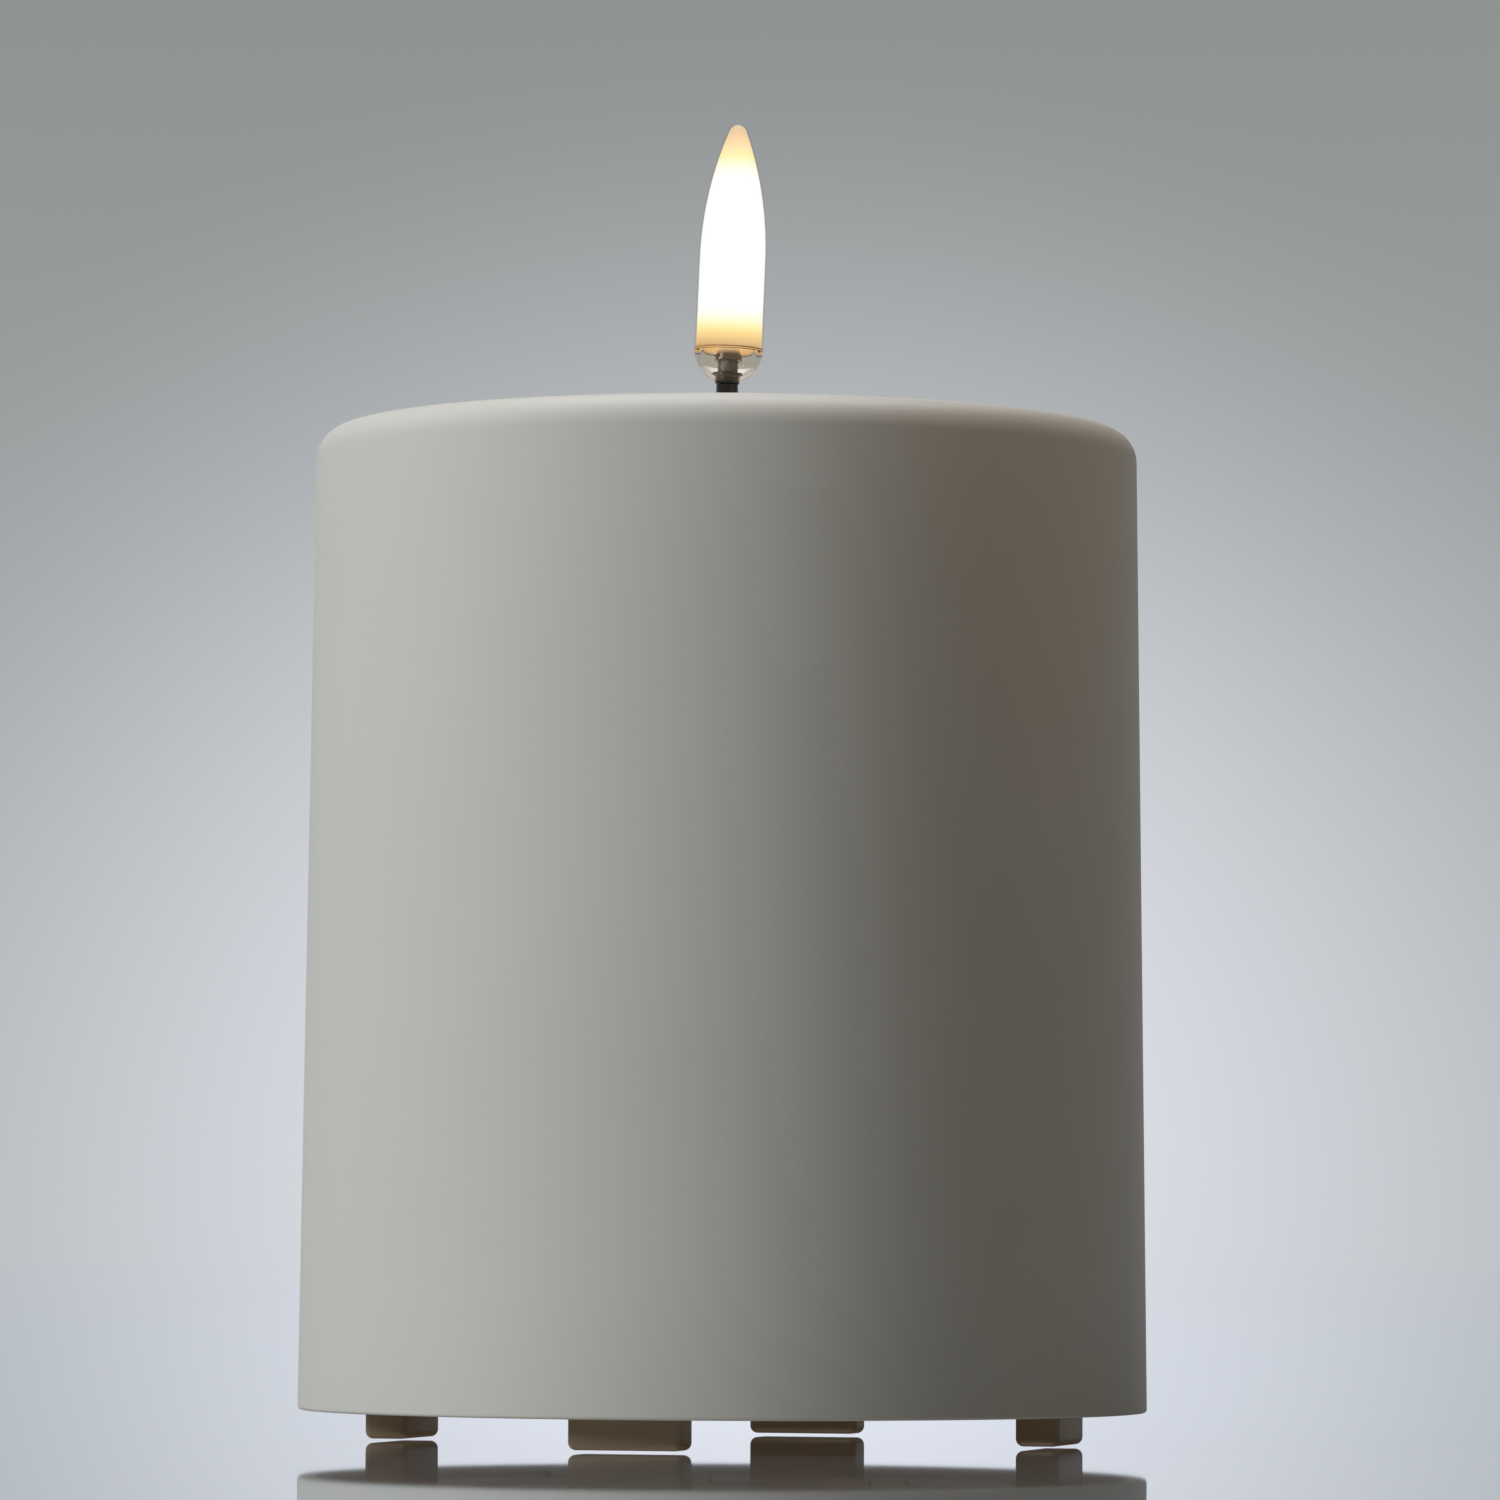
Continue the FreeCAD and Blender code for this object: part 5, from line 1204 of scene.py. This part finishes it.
CAMERA_AZIMUTH = 15.3
CAMERA_DISTANCE = 948.8 * MM
CAMERA_HEIGHT = 22.9 * MM
CAMERA_YAW = 0.0031
CAMERA_PITCH = 0.0588
CAMERA_ROLL = 0.0046
PHOTO_WIDTH = 1500
FOCAL_PIXELS = 7943.9
SENSOR_WIDTH_MM = 36
CLIP_START = 0.05
CLIP_END = 60


def towards(azimuth, elevation, distance):
    """A place around the object. Azimuth 0 is where the camera stands, and it grows to the right."""
    angle = math.radians(CAMERA_AZIMUTH + azimuth)
    rise = math.radians(elevation)
    return Vector((distance * math.sin(angle) * math.cos(rise), -distance * math.cos(angle) * math.cos(rise),
                   distance * math.sin(rise)))


def make_camera():
    lens = bpy.data.cameras.new("camera")
    lens.sensor_width = SENSOR_WIDTH_MM
    lens.lens = FOCAL_PIXELS / PHOTO_WIDTH * SENSOR_WIDTH_MM
    lens.clip_start, lens.clip_end = CLIP_START, CLIP_END
    right, forward, up = (Matrix.Rotation(CAMERA_ROLL, 3, "Y") @ Matrix.Rotation(-CAMERA_PITCH, 3, "X")
                          @ Matrix.Rotation(CAMERA_YAW, 3, "Z"))
    turn = Matrix.Rotation(math.radians(CAMERA_AZIMUTH), 3, "Z")
    axes = Matrix((turn @ right, turn @ up, turn @ -forward)).transposed()
    place = towards(0, 0, CAMERA_DISTANCE) + Vector((0, 0, RIM_GAP + CAMERA_HEIGHT))
    camera = linked("camera", lens)
    camera.matrix_world = Matrix.Translation(place) @ axes.to_4x4()
    bpy.context.scene.camera = camera


make_camera()


# Lamps: a large soft key from the left, a softbox above the flame, a small warm lamp on the
# right, one under the sheet and the light that the flame lets fall round the foot of the wick.
# Each has a name, a place, its width in metres, its power in watts and its colour.

LAMPS = [
    ("key_softbox", towards(-65, 25, 2.5), 1.25, 52.5, "#eff4fc"),
    ("top_softbox", Vector((0, 0, SHELL_TOP + 0.22)), 0.22, 0.37, "#fbfaff"),
    ("warm_lamp", towards(58, 0, 0.17) + Vector((0, 0, 0.19)), 0.05, 0.019, "#ffc680"),
    ("under_lamp", Vector((0, -0.04, -0.24)), 0.05, 0.07, "#fbf6f0"),
    ("flame_light", Vector((0, 0, SHELL_TOP + 2.2 * MM)), 0.003, 0.0004, "#ffc890"),
]


def make_lamp(name, place, width, power, colour):
    data = bpy.data.lights.new(name, "AREA")
    data.shape = "SQUARE"
    data.size = width
    data.energy = power
    data.color = linear(colour)[:3]
    aim = Vector((0, 0, SHELL_TOP / 2)) - place
    lamp = linked(name, data)
    lamp.matrix_world = Matrix.Translation(place) @ aim.to_track_quat("-Z", "Y").to_matrix().to_4x4()
    lamp.visible_camera = False
    # The key is kept out of glossy reflections, so that the satin shell shows no streak of it.
    lamp.visible_glossy = name != "key_softbox"


for row in LAMPS:
    make_lamp(*row)


# World: a pale grey room with a soft glow behind the object

def make_world():
    world = bpy.data.worlds.new("pale_room")
    bpy.context.scene.world = world
    world.use_nodes = True
    tree = world.node_tree
    tree.nodes.clear()
    ray = add(tree, "ShaderNodeLightPath").outputs
    direction = add(tree, "ShaderNodeTexCoord").outputs["Generated"]
    rise = add(tree, "ShaderNodeSeparateXYZ", {"Vector": direction}).outputs["Z"]
    height = add(tree, "ShaderNodeMapRange", {"Value": rise, "From Min": -0.05, "From Max": 0.206},
                 interpolation_type="SMOOTHSTEP")
    room = add(tree, "ShaderNodeMix", {"Factor": height, "A": linear("#b0b4b8"), "B": linear("#8a8e8c")},
               data_type="RGBA")
    # The glow is an oval patch of directions, almost straight behind the object.
    middle = 0.005 * towards(90, 0, 1) - towards(0, 0, 1) + Vector((0, 0, 0.011))
    half_width, half_height = 0.147, 0.1415
    apart = add(tree, "ShaderNodeVectorMath", {0: direction, 1: middle}, operation="SUBTRACT")
    oval = add(tree, "ShaderNodeVectorMath", {0: apart, 1: (half_width, half_width, half_height)},
               operation="DIVIDE")
    reach = add(tree, "ShaderNodeVectorMath", {0: oval}, operation="LENGTH")
    fade = add(tree, "ShaderNodeMapRange", {"Value": reach, "To Min": 1.0, "To Max": 0.0},
               interpolation_type="SMOOTHSTEP")
    glow = add(tree, "ShaderNodeMix", {"Factor": fade, "A": room, "B": linear("#e4e7ee")}, data_type="RGBA")
    seen = ray["Is Camera Ray"]
    for other in ("Is Glossy Ray", "Is Transmission Ray"):
        seen = add(tree, "ShaderNodeMath", {0: seen, 1: ray[other]}, operation="MAXIMUM")
    fill = add(tree, "ShaderNodeBackground", {"Color": linear("#fffcfa"), "Strength": 0.026})
    # Mirrored in the sheet, the room is as bright as beside it.
    mirrored = add(tree, "ShaderNodeMath", {0: ray["Is Glossy Ray"], 1: 0.18, 2: 1.0},
                   operation="MULTIPLY_ADD")
    view = add(tree, "ShaderNodeBackground", {"Color": glow, "Strength": mirrored})
    mixed = add(tree, "ShaderNodeMixShader", {0: seen, 1: fill, 2: view})
    add(tree, "ShaderNodeOutputWorld", {"Surface": mixed})


make_world()


# Floor: a pale polished sheet that fades into the room

FLOOR_REACH = 6.0
FLOOR_FADE_START = 0.5
FLOOR_FADE_END = 4.0
# The face that mirrors lies under a clear layer, which is not drawn. This is the bright gap
# between a foot and its mirror image.
MIRROR_DEPTH = 0.25 * MM


def sheet_material(name):
    """Pale acrylic sheet, polished: matt below a gloss that mirrors more at a low angle."""
    made, tree = bare_material(name)
    ray = add(tree, "ShaderNodeLightPath").outputs
    # The camera sees the sheet paler than it is in the light that it throws on the object.
    seen = ray["Is Camera Ray"]
    tone = add(tree, "ShaderNodeMix", {"Factor": seen, "A": linear("#989b9c"), "B": linear("#dfe2e3")},
               data_type="RGBA")
    matt = add(tree, "ShaderNodeBsdfDiffuse", {"Color": tone})
    veil = add(tree, "ShaderNodeMath", {0: seen, 1: 0.17}, operation="MULTIPLY")
    pale = add(tree, "ShaderNodeEmission", {"Color": linear("#eceff1"), "Strength": veil})
    sheet = add(tree, "ShaderNodeAddShader", {0: matt, 1: pale})
    gloss = add(tree, "ShaderNodeBsdfGlossy", {"Color": linear("#eaecf0"), "Roughness": 0.03})
    bare = add(tree, "ShaderNodeFresnel", {"IOR": 1.7})
    polish = add(tree, "ShaderNodeMapRange", {"Value": bare, "From Max": 0.86, "To Max": 0.985})
    shader = add(tree, "ShaderNodeMixShader", {0: polish, 1: sheet, 2: gloss})
    clear = add(tree, "ShaderNodeBsdfTransparent")
    where = add(tree, "ShaderNodeTexCoord").outputs["Object"]
    far = add(tree, "ShaderNodeVectorMath", {0: where}, operation="LENGTH")
    through = add(tree, "ShaderNodeMapRange", {"Value": far, "From Min": FLOOR_FADE_START,
                                               "From Max": FLOOR_FADE_END}, interpolation_type="SMOOTHSTEP")
    # From below the sheet is clear, so that the underside of the object can be looked at, and
    # the light of the lamps passes through it.
    under = add(tree, "ShaderNodeNewGeometry").outputs["Backfacing"]
    for other in (under, ray["Is Shadow Ray"]):
        through = add(tree, "ShaderNodeMath", {0: through, 1: other}, operation="MAXIMUM")
    mixed = add(tree, "ShaderNodeMixShader", {0: through, 1: shader, 2: clear})
    add(tree, "ShaderNodeOutputMaterial", {"Surface": mixed})
    return made


def make_floor():
    mesh = bmesh.new()
    bmesh.ops.create_circle(mesh, cap_ends=True, segments=FINE_SIDES, radius=FLOOR_REACH)
    floor = finish_mesh("floor", mesh, [sheet_material("pale_polished_sheet")],
                        Matrix.Translation((0, 0, -MIRROR_DEPTH)))


make_floor()

bpy.context.scene.view_settings.view_transform = "Standard"
